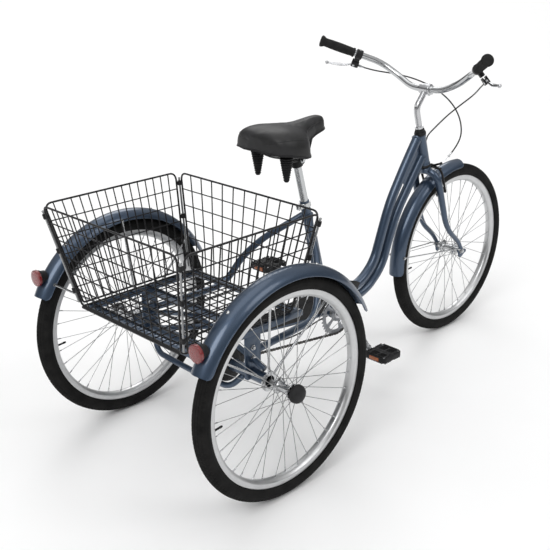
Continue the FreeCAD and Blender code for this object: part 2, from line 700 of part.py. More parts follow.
def make_fork():
    steerer = cylinder(along_head(-14.0), along_head(size("head_length") + 40.0), size("steerer_radius"))
    quill_bore = cylinder(along_head(20.0), along_head(size("head_length") + 45.0), size("steerer_bore"))
    crown = along_head(-14.0)
    shape = steerer.fuse(Part.makeCylinder(19.0, 13.0, along_head(-14.0), STEER))
    for side in SIDES:
        points = [crown + Vector(0, -side * 2, 0), crown + Vector(0, side * 32, 0) - STEER * 4, along_head(-46) + Vector(0, side * 52, 0),
                  along_head(-250) + Vector(0, side * 59, 0), FRONT + Vector(-26, side * 59, 44), FRONT + Vector(-2, side * 59, 12)]
        shape = shape.fuse(bent_rod(points, size("blade_radius")))
        tab = block(Vector(-15, -3, -12), Vector(9, 3, 26))
        tab.Placement = Placement(FRONT + Vector(0, side * 53.0, 0), Rotation(Y_AXIS, -20))
        shape = shape.fuse(tab).fuse(eyelet_lug(side))
    axle_hole = Part.makeCylinder(size("front_axle_radius"), 140.0, FRONT - Y_AXIS * 70, Y_AXIS)
    shape = shape.cut(quill_bore).cut(axle_hole)
    bolt = cylinder(along_head(-14.0) + CALIPER_AHEAD * 5, CALIPER_PIVOT + CALIPER_AHEAD * 16, 3.0)
    for side in SIDES:
        centre = eyelet_centre(side)
        eyelet = Part.makeCylinder(size("eyelet_radius"), 8.0, centre - Y_AXIS * 4, Y_AXIS)
        shape = shape.cut(eyelet)
    shape_part("fork", shape.fuse(bolt))
    axle = cylinder(FRONT - Y_AXIS * 68, FRONT + Y_AXIS * 68, size("front_axle_radius"))
    for side in SIDES:
        axle = axle.fuse(hex_prism(FRONT + Vector(0, side * 62, 0), Y_AXIS * side, 8.5, 6.0))
    shape_part("front_axle", axle)


def hex_prism(centre, direction, radius, height):
    """Hexagonal nut blank, centred on a point."""
    points = [Vector(radius * math.cos(math.radians(60 * k)), radius * math.sin(math.radians(60 * k)), 0) for k in range(7)]
    prism = Part.Face(Part.makePolygon(points)).extrude(Vector(0, 0, height))
    prism.Placement = turned(direction, centre - Vector(direction).normalize() * (height / 2))
    return prism


BAR_CENTRE = Vector(size("clamp_x"), 0, size("clamp_z"))


def bar_points(side):
    return [BAR_CENTRE, BAR_CENTRE + Vector(0, side * 62, 0), Vector(447, side * 125, 998),
            Vector(425, side * 195, 1044), Vector(271, side * 350, 1122)]


def make_cockpit():
    elbow = along_head(236.0)
    quill = bent_rod([along_head(40.0), along_head(150.0), elbow, BAR_CENTRE], 11.0, 0.3)
    ring = Part.makeCylinder(19.5, 42.0, BAR_CENTRE - Y_AXIS * 21, Y_AXIS)
    bar_hole = Part.makeCylinder(12.8, 50.0, BAR_CENTRE - Y_AXIS * 25, Y_AXIS)
    pinch = Part.makeCylinder(5.0, 26.0, BAR_CENTRE + Vector(19, 0, -13), Z_AXIS)
    shape_part("stem", quill.fuse(ring).fuse(pinch).cut(bar_hole))
    sleeve = Part.makeCylinder(12.75, 60.0, BAR_CENTRE - Y_AXIS * 30, Y_AXIS)
    left = bar_points(LEFT)[::-1]
    whole = left[:-1] + bar_points(RIGHT)[1:]
    tube = bent_rod(whole, size("bar_radius"))
    hollow = bent_rod(whole, size("bar_radius") - 1.8)
    shape_part("handlebar", tube.fuse(sleeve).cut(hollow))
    grips = []
    for side in SIDES:
        inner, outer = bar_points(side)[-2:]
        heading = (outer - inner).normalize()
        start = outer - heading * 128.0
        grip = Part.makeCylinder(size("grip_radius"), 122.0, start, heading)
        grip = grip.fuse(Part.makeCone(size("grip_radius"), size("grip_radius") + 5, 12.0, start + heading * 122.0, heading))
        bore = Part.makeCylinder(size("bar_radius"), 128.0, start, heading)
        grips.append(grip.cut(bore))
    compound("grips", grips)


def lever_frame(side):
    """Clamp centre, pivot centre and the direction along the bar for one brake lever."""
    inner, outer = bar_points(side)[-2:]
    heading = (outer - inner).normalize()
    clamp = outer - heading * 146.0
    towards = Vector(0.36, side * 0.42, -0.83)
    towards = (towards - heading * towards.dot(heading)).normalize()
    return clamp, clamp + towards * size("lever_drop") + heading * 4.0, heading, towards


def make_levers():
    brackets = []
    for name, side in (("right_brake_lever", RIGHT), ("left_brake_lever", LEFT)):
        clamp, pivot, heading, towards = lever_frame(side)
        across = heading.cross(towards).normalize()
        core = Part.makeCylinder(size("bar_radius"), 60.0, clamp - heading * 30, heading)
        shape = Part.makeCylinder(17.0, 24.0, clamp - heading * 12, heading)
        arm = cylinder(clamp + towards * 8, pivot - heading * 3, 9.0)
        slot = oriented_block(pivot, heading, across, towards, Vector(17.5, 4.3, 16.0))
        knuckle = Part.makeCylinder(10.0, 16.0, pivot - across * 8, across)
        pin = Part.makeCylinder(2.5, 16.0, pivot - across * 8, across)
        barrel = cylinder(pivot - heading * 12, pivot - heading * 30, 4.5)
        body = shape.fuse(arm).fuse(knuckle).fuse(barrel).cut(core).cut(slot).fuse(pin)
        brackets.append(largest(body))
        lever_end = pivot + heading * 91.0 + towards * 36.0
        first_bend = pivot + heading * 28 + towards * 17
        last_bend = lever_end - heading * 30 - towards * 7
        blade = bent_rod([pivot + heading * 1.0, first_bend, last_bend, lever_end], 3.9)
        eye = Part.makeCylinder(8.5, 7.8, pivot - across * 3.9, across)
        ball = Part.makeSphere(6.5, lever_end)
        hole = Part.makeCylinder(2.55, 20.0, pivot - across * 10, across)
        shape_part(name, blade.fuse(eye).fuse(ball).cut(hole))
    compound("brake_lever_brackets", brackets)


def oriented_block(centre, along, across, up, half):
    """A box centred on a point with its sides along three directions."""
    box = Part.makeBox(2 * half.x, 2 * half.y, 2 * half.z, Vector(-half.x, -half.y, -half.z))
    matrix = FreeCAD.Matrix(along.x, across.x, up.x, centre.x, along.y, across.y, up.y, centre.y,
                            along.z, across.z, up.z, centre.z, 0, 0, 0, 1)
    box.Placement = Placement(matrix)
    return box


CALIPER_AHEAD = Vector(STEER.z, 0, -STEER.x)
CALIPER_PIVOT = along_head(-14.0) + CALIPER_AHEAD * 33.0


def make_caliper():
    """Side-pull rim brake on a bolt through the fork crown."""
    for name, side, ahead in (("right_caliper_arm", RIGHT, 4.0), ("left_caliper_arm", LEFT, -5.0)):
        centre = CALIPER_PIVOT + CALIPER_AHEAD * ahead
        eye = Part.makeCylinder(9.0, 7.0, centre - CALIPER_AHEAD * 3.5, CALIPER_AHEAD)
        pad_at = around(FRONT, 276.0, 114.0, side * 25.0)
        knee = centre + Vector(0, side * 44, 0) - STEER * 22
        arm = bent_rod([centre + Vector(0, side * 2, 0), centre + Vector(0, side * 30, 0) - STEER * 1, knee,
                        pad_at + Vector(0, side * 21, 8)], 4.6)
        pad = Part.makeBox(48.0, 9.0, 12.0, Vector(-24, -4.5, -6))
        pad.Placement = Placement(pad_at, Rotation(Y_AXIS, -24))
        holder = cylinder(pad_at, pad_at + Vector(0, side * 22, 6), 4.0)
        tail = cylinder(centre, centre + Vector(0, RIGHT * 44, 0) + STEER * (10 + ahead * 2), 4.0)
        hole = Part.makeCylinder(3.05, 30.0, centre - CALIPER_AHEAD * 15, CALIPER_AHEAD)
        shape_part(name, eye.fuse(arm).fuse(pad).fuse(holder).fuse(tail).cut(hole))


# ---- cables ---------------------------------------------------------------------------------

def make_cables():
    """Brake cable housings held between their stops."""
    radius = size("cable_radius")
    routes = {
        "front_brake_cable": front_cable_route(),
        "rear_brake_cable_upper": rear_cable_upper_route(),
        "rear_brake_cable_lower": rear_cable_lower_route(),
    }
    for name, points in routes.items():
        shape = bent_rod(points, radius)
        wire = bent_wire(points)
        section = math.pi * radius ** 2
        print(name, "length", round(wire.Length), "volume share", round(shape.Volume / (section * wire.Length), 3))
        shape_part(name, shape)


def front_cable_route():
    clamp, pivot, heading, towards = lever_frame(LEFT)
    start = pivot - heading * 30.0
    return [start, start - heading * 40, Vector(478, 165, 1000), Vector(508, 95, 985), Vector(532, 20, 955),
            Vector(548, -45, 905), Vector(556, -78, 840), Vector(548, -82, 775), Vector(520, -60, 730)]


def rear_cable_upper_route():
    clamp, pivot, heading, towards = lever_frame(RIGHT)
    start = pivot - heading * 30.0
    return [start, start - heading * 40, Vector(512, -150, 958), Vector(512, -92, 912), Vector(508, -45, 871),
            Vector(496, -8, 828), Vector(478, 14, 796), Vector(479, 18, 784)]


def rear_cable_lower_route():
    return [Vector(481.4, 19, 776), Vector(478, 34, 750), Vector(436, 46, 706), Vector(368, 42, 644), Vector(290, 26, 510),
            Vector(256, 24, 420), Vector(200, 24, 330), Vector(120, 24, 262), Vector(0, 24, 244), Vector(-120, 10, 246),
            Vector(-240, -42, 262), Vector(-400, -92, 300), Vector(-540, -128, 372), Vector(-600, -129, 396),
            Vector(-622, -129, 400)]


# ---- saddle ----------------------------------------------------------------------------------

SADDLE_TAIL = -392.0
SADDLE_SHAPE = (
    (0.00, 62.0, 893.0, 926.0, 938.0), (0.03, 88.0, 892.0, 929.0, 948.0), (0.10, 109.0, 890.0, 931.0, 956.0),
    (0.24, 118.0, 883.0, 926.0, 959.0), (0.38, 117.0, 873.0, 919.0, 955.0), (0.46, 104.0, 872.0, 919.0, 953.0),
    (0.54, 72.0, 882.0, 924.0, 953.0), (0.64, 46.0, 896.0, 931.0, 956.0), (0.78, 33.0, 909.0, 938.0, 961.0),
    (0.92, 27.0, 918.0, 942.0, 963.0), (1.00, 15.0, 923.0, 938.0, 950.0),
)


def make_saddle():
    """Cushion and the shell under it, lofted through sections from tail to nose."""
    axis_top = MAST_TOP + SEAT * 150.0
    rod_body("seat_post", "Sizes.seat_post_radius", "270 mm", turned(SEAT, axis_top - SEAT * 270.0))
    wires = []
    base_wires = []
    for share, half, low, shoulder, top in SADDLE_SHAPE:
        x = SADDLE_TAIL + share * size("saddle_length")
        wires.append(saddle_wire(x, half * size("saddle_width") / 236.0, low, shoulder, top))
        base_wires.append(saddle_wire(x, half - 6, low - 6.3, low - 3.3, low - 0.3))
    shape_part("saddle_cushion", Part.makeLoft(wires, True, True))
    shape_part("saddle_base", Part.makeLoft(base_wires, True, True))


def saddle_wire(x, half, low, shoulder, top):
    """One cross-section of the saddle: flat below, crowned above."""
    crown = shoulder + 0.86 * (top - shoulder)
    points = [Vector(x, -half, low), Vector(x, -half, shoulder), Vector(x, -0.66 * half, crown), Vector(x, 0, top),
              Vector(x, 0.66 * half, crown), Vector(x, half, shoulder), Vector(x, half, low)]
    return Part.makePolygon(points + [points[0]])


def make_saddle_mount():
    post_top = MAST_TOP + SEAT * 150.0
    head = pipe_ring(post_top - SEAT * 14, SEAT, 19.0, size("seat_post_radius"), 26.0)
    cross = cylinder(post_top - SEAT * 2 - Y_AXIS * 26, post_top - SEAT * 2 + Y_AXIS * 26, 9.0)
    core = cylinder(post_top - SEAT * 60, post_top, size("seat_post_radius"))
    clamp = head.fuse(cross.cut(core))
    spring_top = 871.0
    spring_x = -324.0
    rails = [clamp]
    for side in SIDES:
        points = [Vector(spring_x - 1, side * 62, spring_top + 1), Vector(spring_x + 34, side * 40, 850),
                  Vector(post_top.x - 20, side * 22, post_top.z - 3), Vector(post_top.x + 30, side * 21, post_top.z + 2),
                  Vector(-160, side * 12, 900)]
        rails.append(largest(bent_rod(points, 3.5).cut(clamp)))
    compound("saddle_rails", rails)
    springs = []
    for side in SIDES:
        low = Vector(spring_x, side * 62, 797)
        springs.append(Part.makeCone(8.0, 21.0, spring_top - low.z, low, Z_AXIS))
    compound("saddle_springs", springs)


# ---- basket -----------------------------------------------------------------------------------

def lattice(corners, across, along, border, wire, thickness):
    """Flat wire panel between four corners: a plate pierced by a grid of openings."""
    low_left, low_right, high_right, high_left = corners

    def at(u, v):
        low = low_left + (low_right - low_left) * u
        high = high_left + (high_right - high_left) * u
        return low + (high - low) * v
    width = (low_right - low_left).Length
    height = (high_left - low_left).Length
    edge_u = border / width
    edge_v = border / height
    half_u = 0.5 * wire / width
    half_v = 0.5 * wire / height
    normal = (low_right - low_left).cross(high_left - low_left).normalize()
    outer = Part.makePolygon([at(0, 0), at(1, 0), at(1, 1), at(0, 1), at(0, 0)])
    holes = []
    for column in range(across):
        first_u = edge_u if column == 0 else column / across + half_u
        last_u = 1 - edge_u if column == across - 1 else (column + 1) / across - half_u
        for row in range(along):
            first_v = edge_v if row == 0 else row / along + half_v
            last_v = 1 - edge_v if row == along - 1 else (row + 1) / along - half_v
            holes.append(Part.makePolygon([at(first_u, first_v), at(last_u, first_v), at(last_u, last_v),
                                           at(first_u, last_v), at(first_u, first_v)]))
    plate = Part.makeFace([outer] + holes, "Part::FaceMakerBullseye").extrude(normal * thickness)
    plate.translate(normal * (-thickness / 2))
    return plate


BASKET_TOP = (-943.0, -437.0, 313.0)
BASKET_LOW = (-887.0, -470.0, 240.0)


def make_basket():
    rod = size("rod_radius")
    wire = 2 * size("wire_radius")
    border = 5.0
    rim = size("basket_rim")
    floor = size("basket_floor_z")
    top_back, top_front, top_half = BASKET_TOP
    low_back, low_front, low_half = BASKET_LOW
    gap = 11.0
    sides = []
    for side in SIDES:
        corners = [Vector(low_back + gap, side * low_half, floor), Vector(low_front - gap, side * low_half, floor),
                   Vector(top_front - gap, side * top_half, rim), Vector(top_back + gap, side * top_half, rim)]
        sides.append(lattice(corners, 16, 6, border, wire, wire))
    compound("basket_side_panels", sides)
    ends = []
    for low_x, top_x in ((low_back, top_back), (low_front, top_front)):
        corners = [Vector(low_x, -low_half + gap, floor), Vector(low_x, low_half - gap, floor),
                   Vector(top_x, top_half - gap, rim), Vector(top_x, -top_half + gap, rim)]
        ends.append(lattice(corners, 12, 6, border, wire, wire))
    compound("basket_end_panels", ends)
    drop = floor - 6.0
    corners = [Vector(low_back + 8, -low_half + 8, drop), Vector(low_front - 8, -low_half + 8, drop),
               Vector(low_front - 8, low_half - 8, drop), Vector(low_back + 8, low_half - 8, drop)]
    shape_part("basket_floor", lattice(corners, 12, 10, border, wire, wire))
    posts = []
    for low_x, top_x in ((low_back, top_back), (low_front, top_front)):
        for side in SIDES:
            start = Vector(low_x, side * low_half, floor)
            end = Vector(top_x, side * top_half, rim)
            run = end - start
            post = cylinder(start + run * 0.02, start + run * 0.93, rod)
            for share in (0.12, 0.52, 0.86):
                at = start + run * share
                post = post.fuse(Part.makeCylinder(6.5, 14.0, at, run))
            posts.append(post)
    compound("basket_corner_posts", posts)


# ---- assembly ------------------------------------------------------------------------------------

make_wheels()
make_rear_axle()
make_sprockets()
make_chain()
make_chain_guard()
make_crankset()
make_pedals()
make_front_frame()
make_rear_frame()
make_brake_housing()
make_fenders()
make_reflectors()
make_fork()
make_cockpit()
make_levers()
make_caliper()
make_cables()
make_saddle()
make_saddle_mount()
make_basket()
doc.recompute()

for item in doc.Objects:
    if "Invalid" in item.State or "Error" in item.State:
        raise RuntimeError(f"{item.Name} failed: {item.State}")
os.makedirs("parts", exist_ok=True)
for part in parts:
    shape = part.Shape
    if shape.isNull() or not shape.isValid() or not shape.Solids:
        raise RuntimeError(f"{part.Label} has no valid solid")
    shape.exportStep(f"parts/{part.Label}.step")
print(len(parts), "sub-parts written")
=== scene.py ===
import json
import math

import bpy
import bmesh
import numpy as np
from mathutils import Matrix, Vector


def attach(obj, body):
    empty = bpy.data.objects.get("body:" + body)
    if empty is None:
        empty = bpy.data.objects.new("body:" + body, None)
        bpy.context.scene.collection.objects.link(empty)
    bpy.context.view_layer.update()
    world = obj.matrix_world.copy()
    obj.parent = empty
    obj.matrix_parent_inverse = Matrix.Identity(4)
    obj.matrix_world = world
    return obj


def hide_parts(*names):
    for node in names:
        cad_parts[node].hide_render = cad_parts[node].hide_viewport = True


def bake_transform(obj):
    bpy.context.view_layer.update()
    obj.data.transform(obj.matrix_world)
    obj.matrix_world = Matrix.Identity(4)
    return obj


# Looks of the adult tricycle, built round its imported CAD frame. Lengths are millimetres until a mesh is made.

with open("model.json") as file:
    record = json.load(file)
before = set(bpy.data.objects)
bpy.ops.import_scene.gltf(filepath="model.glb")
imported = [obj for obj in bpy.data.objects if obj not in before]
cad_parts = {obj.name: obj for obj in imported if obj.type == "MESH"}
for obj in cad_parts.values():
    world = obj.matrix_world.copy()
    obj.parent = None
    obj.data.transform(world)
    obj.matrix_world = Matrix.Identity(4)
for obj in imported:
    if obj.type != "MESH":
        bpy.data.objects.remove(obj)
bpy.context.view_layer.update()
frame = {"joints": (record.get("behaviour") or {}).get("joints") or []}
JOINTS = {joint["name"]: joint for joint in frame["joints"]}
TO_METRES = 0.001
TAU = 2 * math.pi
LEFT, RIGHT = 1, -1
SIDES = (RIGHT, LEFT)
X = Vector((1, 0, 0))
Y = Vector((0, 1, 0))
Z = Vector((0, 0, 1))


def vec(x, y, z):
    return Vector((x, y, z))


def joint_place(name):
    """A joint's point, in millimetres."""
    return Vector(JOINTS[name]["pos_m"]) / TO_METRES


FRONT = joint_place("front_wheel_spin")
RIGHT_WHEEL = joint_place("right_wheel_spin")
LEFT_WHEEL = joint_place("left_wheel_spin")
REAR = (RIGHT_WHEEL + LEFT_WHEEL) / 2
TRACK = LEFT_WHEEL.y
CRANK = joint_place("crank_spin")
HEAD_LOW = joint_place("steer")
STEER = Vector(JOINTS["steer"]["axis"]).normalized()
SEAT = Vector(JOINTS["saddle_height"]["axis"]).normalized()
AHEAD = vec(STEER.z, 0, -STEER.x)
MAST_TOP = CRANK + SEAT * 425
BAR_CENTRE = vec(437, 0, 970)


# ---- materials -----------------------------------------------------------------------------

def new_material(name, colour, metallic=0.0, roughness=0.5, coat=0.0, coat_roughness=0.1):
    mat = bpy.data.materials.new(name)
    mat.use_nodes = True
    shader = mat.node_tree.nodes["Principled BSDF"]
    shader.inputs["Base Color"].default_value = (*colour, 1)
    shader.inputs["Metallic"].default_value = metallic
    shader.inputs["Roughness"].default_value = roughness
    shader.inputs["Coat Weight"].default_value = coat
    shader.inputs["Coat Roughness"].default_value = coat_roughness
    return mat, mat.node_tree, shader


def add_texture(tree, kind, scale, detail=2.0, stretch=(1, 1, 1)):
    """A procedural texture in object coordinates (metres), stretched along the axes."""
    coords = tree.nodes.new("ShaderNodeTexCoord")
    mapping = tree.nodes.new("ShaderNodeMapping")
    mapping.inputs["Scale"].default_value = stretch
    texture = tree.nodes.new(kind)
    texture.inputs["Scale"].default_value = scale
    if "Detail" in texture.inputs:
        texture.inputs["Detail"].default_value = detail
    tree.links.new(coords.outputs["Object"], mapping.inputs["Vector"])
    tree.links.new(mapping.outputs["Vector"], texture.inputs["Vector"])
    return texture


def add_bump(tree, shader, texture, strength, distance, output=0):
    bump = tree.nodes.new("ShaderNodeBump")
    bump.inputs["Strength"].default_value = strength
    bump.inputs["Distance"].default_value = distance
    tree.links.new(texture.outputs[output], bump.inputs["Height"])
    previous = shader.inputs["Normal"].links
    if previous:
        tree.links.new(previous[0].from_socket, bump.inputs["Normal"])
    tree.links.new(bump.outputs["Normal"], shader.inputs["Normal"])


def add_ramp(tree, texture, stops, target, output=0):
    """Maps a texture onto a colour or value through a ramp of (place, colour) stops."""
    ramp = tree.nodes.new("ShaderNodeValToRGB")
    elements = ramp.color_ramp.elements
    while len(elements) < len(stops):
        elements.new(0.5)
    for element, (place, colour) in zip(elements, stops):
        element.position = place
        element.color = (*colour, 1)
    tree.links.new(texture.outputs[output], ramp.inputs["Fac"])
    tree.links.new(ramp.outputs["Color"], target)


def grey(value):
    return (value, value, value)


def tinted(colour, share):
    return tuple(channel * share for channel in colour)


def make_paint():
    """Metallic slate blue with fine flakes, a slight orange peel and a clear coat."""
    colour = (0.042, 0.068, 0.112)
    mat, tree, shader = new_material("slate_blue_paint", colour, 0.6, 0.34, 0.6, 0.08)
    flakes = add_texture(tree, "ShaderNodeTexNoise", 2400.0, 1.0)
    add_ramp(tree, flakes, [(0.38, tinted(colour, 0.84)), (0.62, tinted(colour, 1.2))],
             shader.inputs["Base Color"])
    peel = add_texture(tree, "ShaderNodeTexNoise", 260.0, 2.0)
    add_bump(tree, shader, peel, 0.05, 0.0004)
    return mat


def make_metal(name, colour, roughness, brush=(1, 1, 1), scale=900.0, depth=0.12):
    """Bare metal with fine brushing, smudges in its roughness and a slight tone change."""
    mat, tree, shader = new_material(name, colour, 1.0, roughness)
    brushing = add_texture(tree, "ShaderNodeTexNoise", scale, 3.0, brush)
    add_bump(tree, shader, brushing, depth, 0.0002)
    smudge = add_texture(tree, "ShaderNodeTexNoise", 22.0, 4.0)
    add_ramp(tree, smudge, [(0.35, grey(roughness * 0.8)), (0.7, grey(min(1.0, roughness * 1.3)))],
             shader.inputs["Roughness"])
    tone = add_texture(tree, "ShaderNodeTexNoise", 60.0, 3.0)
    add_ramp(tree, tone, [(0.3, tinted(colour, 0.92)), (0.75, colour)], shader.inputs["Base Color"])
    return mat


def make_plastic(name, colour, roughness, grain=900.0, depth=0.25, coat=0.0):
    """Moulded plastic or rubber with a fine spark texture."""
    mat, tree, shader = new_material(name, colour, 0.0, roughness, coat)
    shader.inputs["Specular IOR Level"].default_value = 0.15
    spark = add_texture(tree, "ShaderNodeTexVoronoi", grain)
    add_bump(tree, shader, spark, depth, 0.0003)
    tone = add_texture(tree, "ShaderNodeTexNoise", 35.0, 4.0)
    add_ramp(tree, tone, [(0.3, tinted(colour, 0.75)), (0.75, tinted(colour, 1.25))],
             shader.inputs["Base Color"])
    worn = add_texture(tree, "ShaderNodeTexNoise", 90.0, 3.0)
    add_ramp(tree, worn, [(0.3, grey(roughness * 0.85)), (0.7, grey(min(1.0, roughness * 1.15)))],
             shader.inputs["Roughness"])
    return mat


def make_tyre_rubber():
    """Black tyre rubber with a fine grain and a trace of dust."""
    mat, tree, shader = new_material("tyre_rubber", (0.011, 0.011, 0.0115), 0.0, 0.74)
    shader.inputs["Specular IOR Level"].default_value = 0.1
    dust = add_texture(tree, "ShaderNodeTexNoise", 28.0, 6.0)
    add_ramp(tree, dust, [(0.35, grey(0.008)), (0.8, (0.018, 0.0175, 0.017))], shader.inputs["Base Color"])
    grain = add_texture(tree, "ShaderNodeTexNoise", 1200.0, 3.0)
    add_bump(tree, shader, grain, 0.3, 0.0003)
    return mat


def make_vinyl():
    """Smooth black vinyl with a fine leather grain."""
    mat, tree, shader = new_material("saddle_vinyl", (0.022, 0.022, 0.024), 0.0, 0.46, 0.08, 0.35)
    shader.inputs["Specular IOR Level"].default_value = 0.25
    creases = add_texture(tree, "ShaderNodeTexVoronoi", 620.0)
    creases.feature = "DISTANCE_TO_EDGE"
    add_bump(tree, shader, creases, 0.18, 0.00035)
    pores = add_texture(tree, "ShaderNodeTexNoise", 1500.0, 4.0)
    add_bump(tree, shader, pores, 0.12, 0.0002)
    tone = add_texture(tree, "ShaderNodeTexNoise", 18.0, 4.0)
    add_ramp(tree, tone, [(0.3, grey(0.017)), (0.75, (0.03, 0.03, 0.032))], shader.inputs["Base Color"])
    return mat


def make_lens(name, colour):
    """Moulded reflector: glossy skin over a prismatic honeycomb."""
    mat, tree, shader = new_material(name, colour, 0.0, 0.16, 0.8, 0.05)
    cells = add_texture(tree, "ShaderNodeTexVoronoi", 320.0)
    cells.feature = "F1"
    add_bump(tree, shader, cells, 0.6, 0.0012)
    add_ramp(tree, cells, [(0.05, tinted(colour, 1.25)), (0.7, tinted(colour, 0.55))],
             shader.inputs["Base Color"])
    shader.inputs["Subsurface Weight"].default_value = 0.15
    shader.inputs["Subsurface Radius"].default_value = (0.004, 0.001, 0.001)
    return mat


PAINT = make_paint()
ALLOY = make_metal("polished_alloy", (0.56, 0.565, 0.58), 0.24, (1, 1, 12), 500.0)
RIM_ALLOY = make_metal("rim_alloy", (0.60, 0.605, 0.61), 0.36, (8, 1, 8), 420.0, 0.2)
CHROME = make_metal("bright_steel", (0.55, 0.56, 0.57), 0.14, (1, 1, 1), 900.0, 0.05)
SPOKE_STEEL = make_metal("spoke_steel", (0.34, 0.345, 0.35), 0.3)
GROUND_STEEL = make_metal("ground_steel", (0.38, 0.385, 0.39), 0.34, (1, 20, 1), 600.0, 0.2)
RING_STEEL = make_metal("chainring_steel", (0.32, 0.33, 0.35), 0.38, (1, 1, 1), 700.0, 0.2)
CHAIN_STEEL = make_metal("oiled_chain", (0.09, 0.085, 0.08), 0.36, (1, 1, 1), 1400.0, 0.4)
BLACK_WIRE = make_plastic("black_wire_coat", (0.012, 0.012, 0.013), 0.32, 700.0, 0.1, 0.3)
BLACK_METAL = make_plastic("satin_black_paint", (0.016, 0.016, 0.017), 0.42, 1200.0, 0.12, 0.1)
BLACK_PLASTIC = make_plastic("black_plastic", (0.02, 0.02, 0.021), 0.5)
GRIP_RUBBER = make_plastic("grip_rubber", (0.02, 0.02, 0.02), 0.78, 1500.0, 0.4)
CABLE_BLACK = make_plastic("cable_housing", (0.018, 0.018, 0.019), 0.38, 1600.0, 0.08, 0.15)
RUBBER = make_tyre_rubber()
VINYL = make_vinyl()
RED_LENS = make_lens("red_lens", (0.32, 0.004, 0.006))
AMBER_LENS = make_lens("amber_lens", (0.62, 0.14, 0.01))


# ---- mesh tools ------------------------------------------------------------------------------

def make_object(name, verts, faces, mat, smooth=True, sharp=35.0):
    """A mesh piece from millimetre vertices."""
    mesh = bpy.data.meshes.new(name)
    scaled = [tuple(c * TO_METRES for c in v) for v in verts]
    mesh.from_pydata(scaled, [], faces)
    mesh.materials.append(mat)
    bm = bmesh.new()
    bm.from_mesh(mesh)
    bmesh.ops.recalc_face_normals(bm, faces=bm.faces)
    if smooth:
        limit = math.radians(sharp)
        for face in bm.faces:
            face.smooth = True
        for edge in bm.edges:
            if edge.is_manifold and edge.calc_face_angle(0.0) > limit:
                edge.smooth = False
    bm.to_mesh(mesh)
    bm.free()
    piece = bpy.data.objects.new(name, mesh)
    bpy.context.scene.collection.objects.link(piece)
    return piece


class Soup:
    """Collects vertices and faces of several shapes into one piece."""

    def __init__(self):
        self.verts = []
        self.faces = []

    def add(self, verts, faces):
        start = len(self.verts)
        self.verts.extend(tuple(v) for v in verts)
        self.faces.extend(tuple(i + start for i in face) for face in faces)
        return self

    def piece(self, name, mat, sharp=35.0):
        return make_object(name, self.verts, self.faces, mat, True, sharp)


def rounded(points, share=0.45, steps=10):
    """Corners of a bent bar turned into straight runs and tangent arcs."""
    path = [points[0].copy()]
    for index in range(1, len(points) - 1):
        corner = points[index]
        back = points[index - 1] - corner
        ahead = points[index + 1] - corner
        reach = share * min(back.length, ahead.length)
        turn = math.pi - back.angle(ahead)
        if turn < 1e-3:
            path.append(corner.copy())
            continue
        back.normalize()
        ahead.normalize()
        radius = reach / math.tan(turn / 2)
        centre = corner + (back + ahead).normalized() * math.hypot(radius, reach)
        start = corner + back * reach - centre
        end = corner + ahead * reach - centre
        axis = start.cross(end).normalized()
        for step in range(steps + 1):
            path.append(centre + Matrix.Rotation(turn * step / steps, 3, axis) @ start)
    path.append(points[-1].copy())
    return path


def flowing(points, steps=12):
    """A smooth quadratic B-spline through the middles of the runs between points."""
    path = [points[0].copy()]
    mids = [(a + b) / 2 for a, b in zip(points, points[1:])]
    mids[0] = points[0]
    mids[-1] = points[-1]
    for index in range(1, len(points) - 1):
        start = mids[index - 1]
        end = mids[index]
        corner = points[index]
        for step in range(1, steps + 1):
            u = step / steps
            path.append(start * (1 - u) ** 2 + corner * 2 * u * (1 - u) + end * u * u)
    return path


def frames(path, closed=False):
    """Two directions across the path at each of its points, turned as little as possible."""
    count = len(path)
    tangents = []
    for index in range(count):
        if closed:
            run = path[(index + 1) % count] - path[index - 1]
        else:
            run = path[min(index + 1, count - 1)] - path[max(index - 1, 0)]
        tangents.append(run.normalized())
    guide = Y if abs(tangents[0].y) < 0.9 else Z
    side = tangents[0].cross(guide).normalized()
    result = []
    for tangent in tangents:
        side = (side - tangent * side.dot(tangent)).normalized()
        result.append((side, tangent.cross(side)))
    return result


def tube_soup(soup, path, radius, sides=20, closed=False, flat=1.0):
    """A round bar along a path; radius is a number or one number for each point."""
    count = len(path)
    radii = radius if hasattr(radius, "__len__") else [radius] * count
    verts = []
    for point, (side, up), size in zip(path, frames(path, closed), radii):
        for k in range(sides):
            turn = TAU * k / sides
            verts.append(point + side * (size * math.cos(turn)) + up * (size * flat * math.sin(turn)))
    faces = []
    rings = count if closed else count - 1
    for i in range(rings):
        for k in range(sides):
            a = i * sides + k
            b = i * sides + (k + 1) % sides
            c = ((i + 1) % count) * sides + (k + 1) % sides
            d = ((i + 1) % count) * sides + k
            faces.append((a, b, c, d))
    if not closed:
        faces.append(tuple(range(sides)))
        faces.append(tuple((count - 1) * sides + k for k in range(sides)))
    return soup.add(verts, faces)


def tube(name, path, radius, mat, sides=20, closed=False, flat=1.0):
    return tube_soup(Soup(), path, radius, sides, closed, flat).piece(name, mat)


def axes_for(direction):
    direction = Vector(direction).normalized()
    guide = Z if abs(direction.z) < 0.9 else X
    side = direction.cross(guide).normalized()
    return side, direction.cross(side), direction


def lathe_soup(soup, profile, centre, direction, segments=64, loop=False):
    """Revolves (radius, height) points about an axis; loop joins the last point to the first."""
    side, up, axis = axes_for(direction)
    verts = []
    for k in range(segments):
        turn = TAU * k / segments
        outward = side * math.cos(turn) + up * math.sin(turn)
        for radius, height in profile:
            verts.append(centre + outward * radius + axis * height)
    faces = []
    width = len(profile)
    rows = width if loop else width - 1
    for k in range(segments):
        for i in range(rows):
            a = k * width + i
            b = k * width + (i + 1) % width
            c = ((k + 1) % segments) * width + (i + 1) % width
            d = ((k + 1) % segments) * width + i
            faces.append((a, b, c, d))
    if not loop:
        for end in (0, width - 1):
            if profile[end][0] > 1e-6:
                faces.append(tuple(k * width + end for k in range(segments)))
    return soup.add(verts, faces)


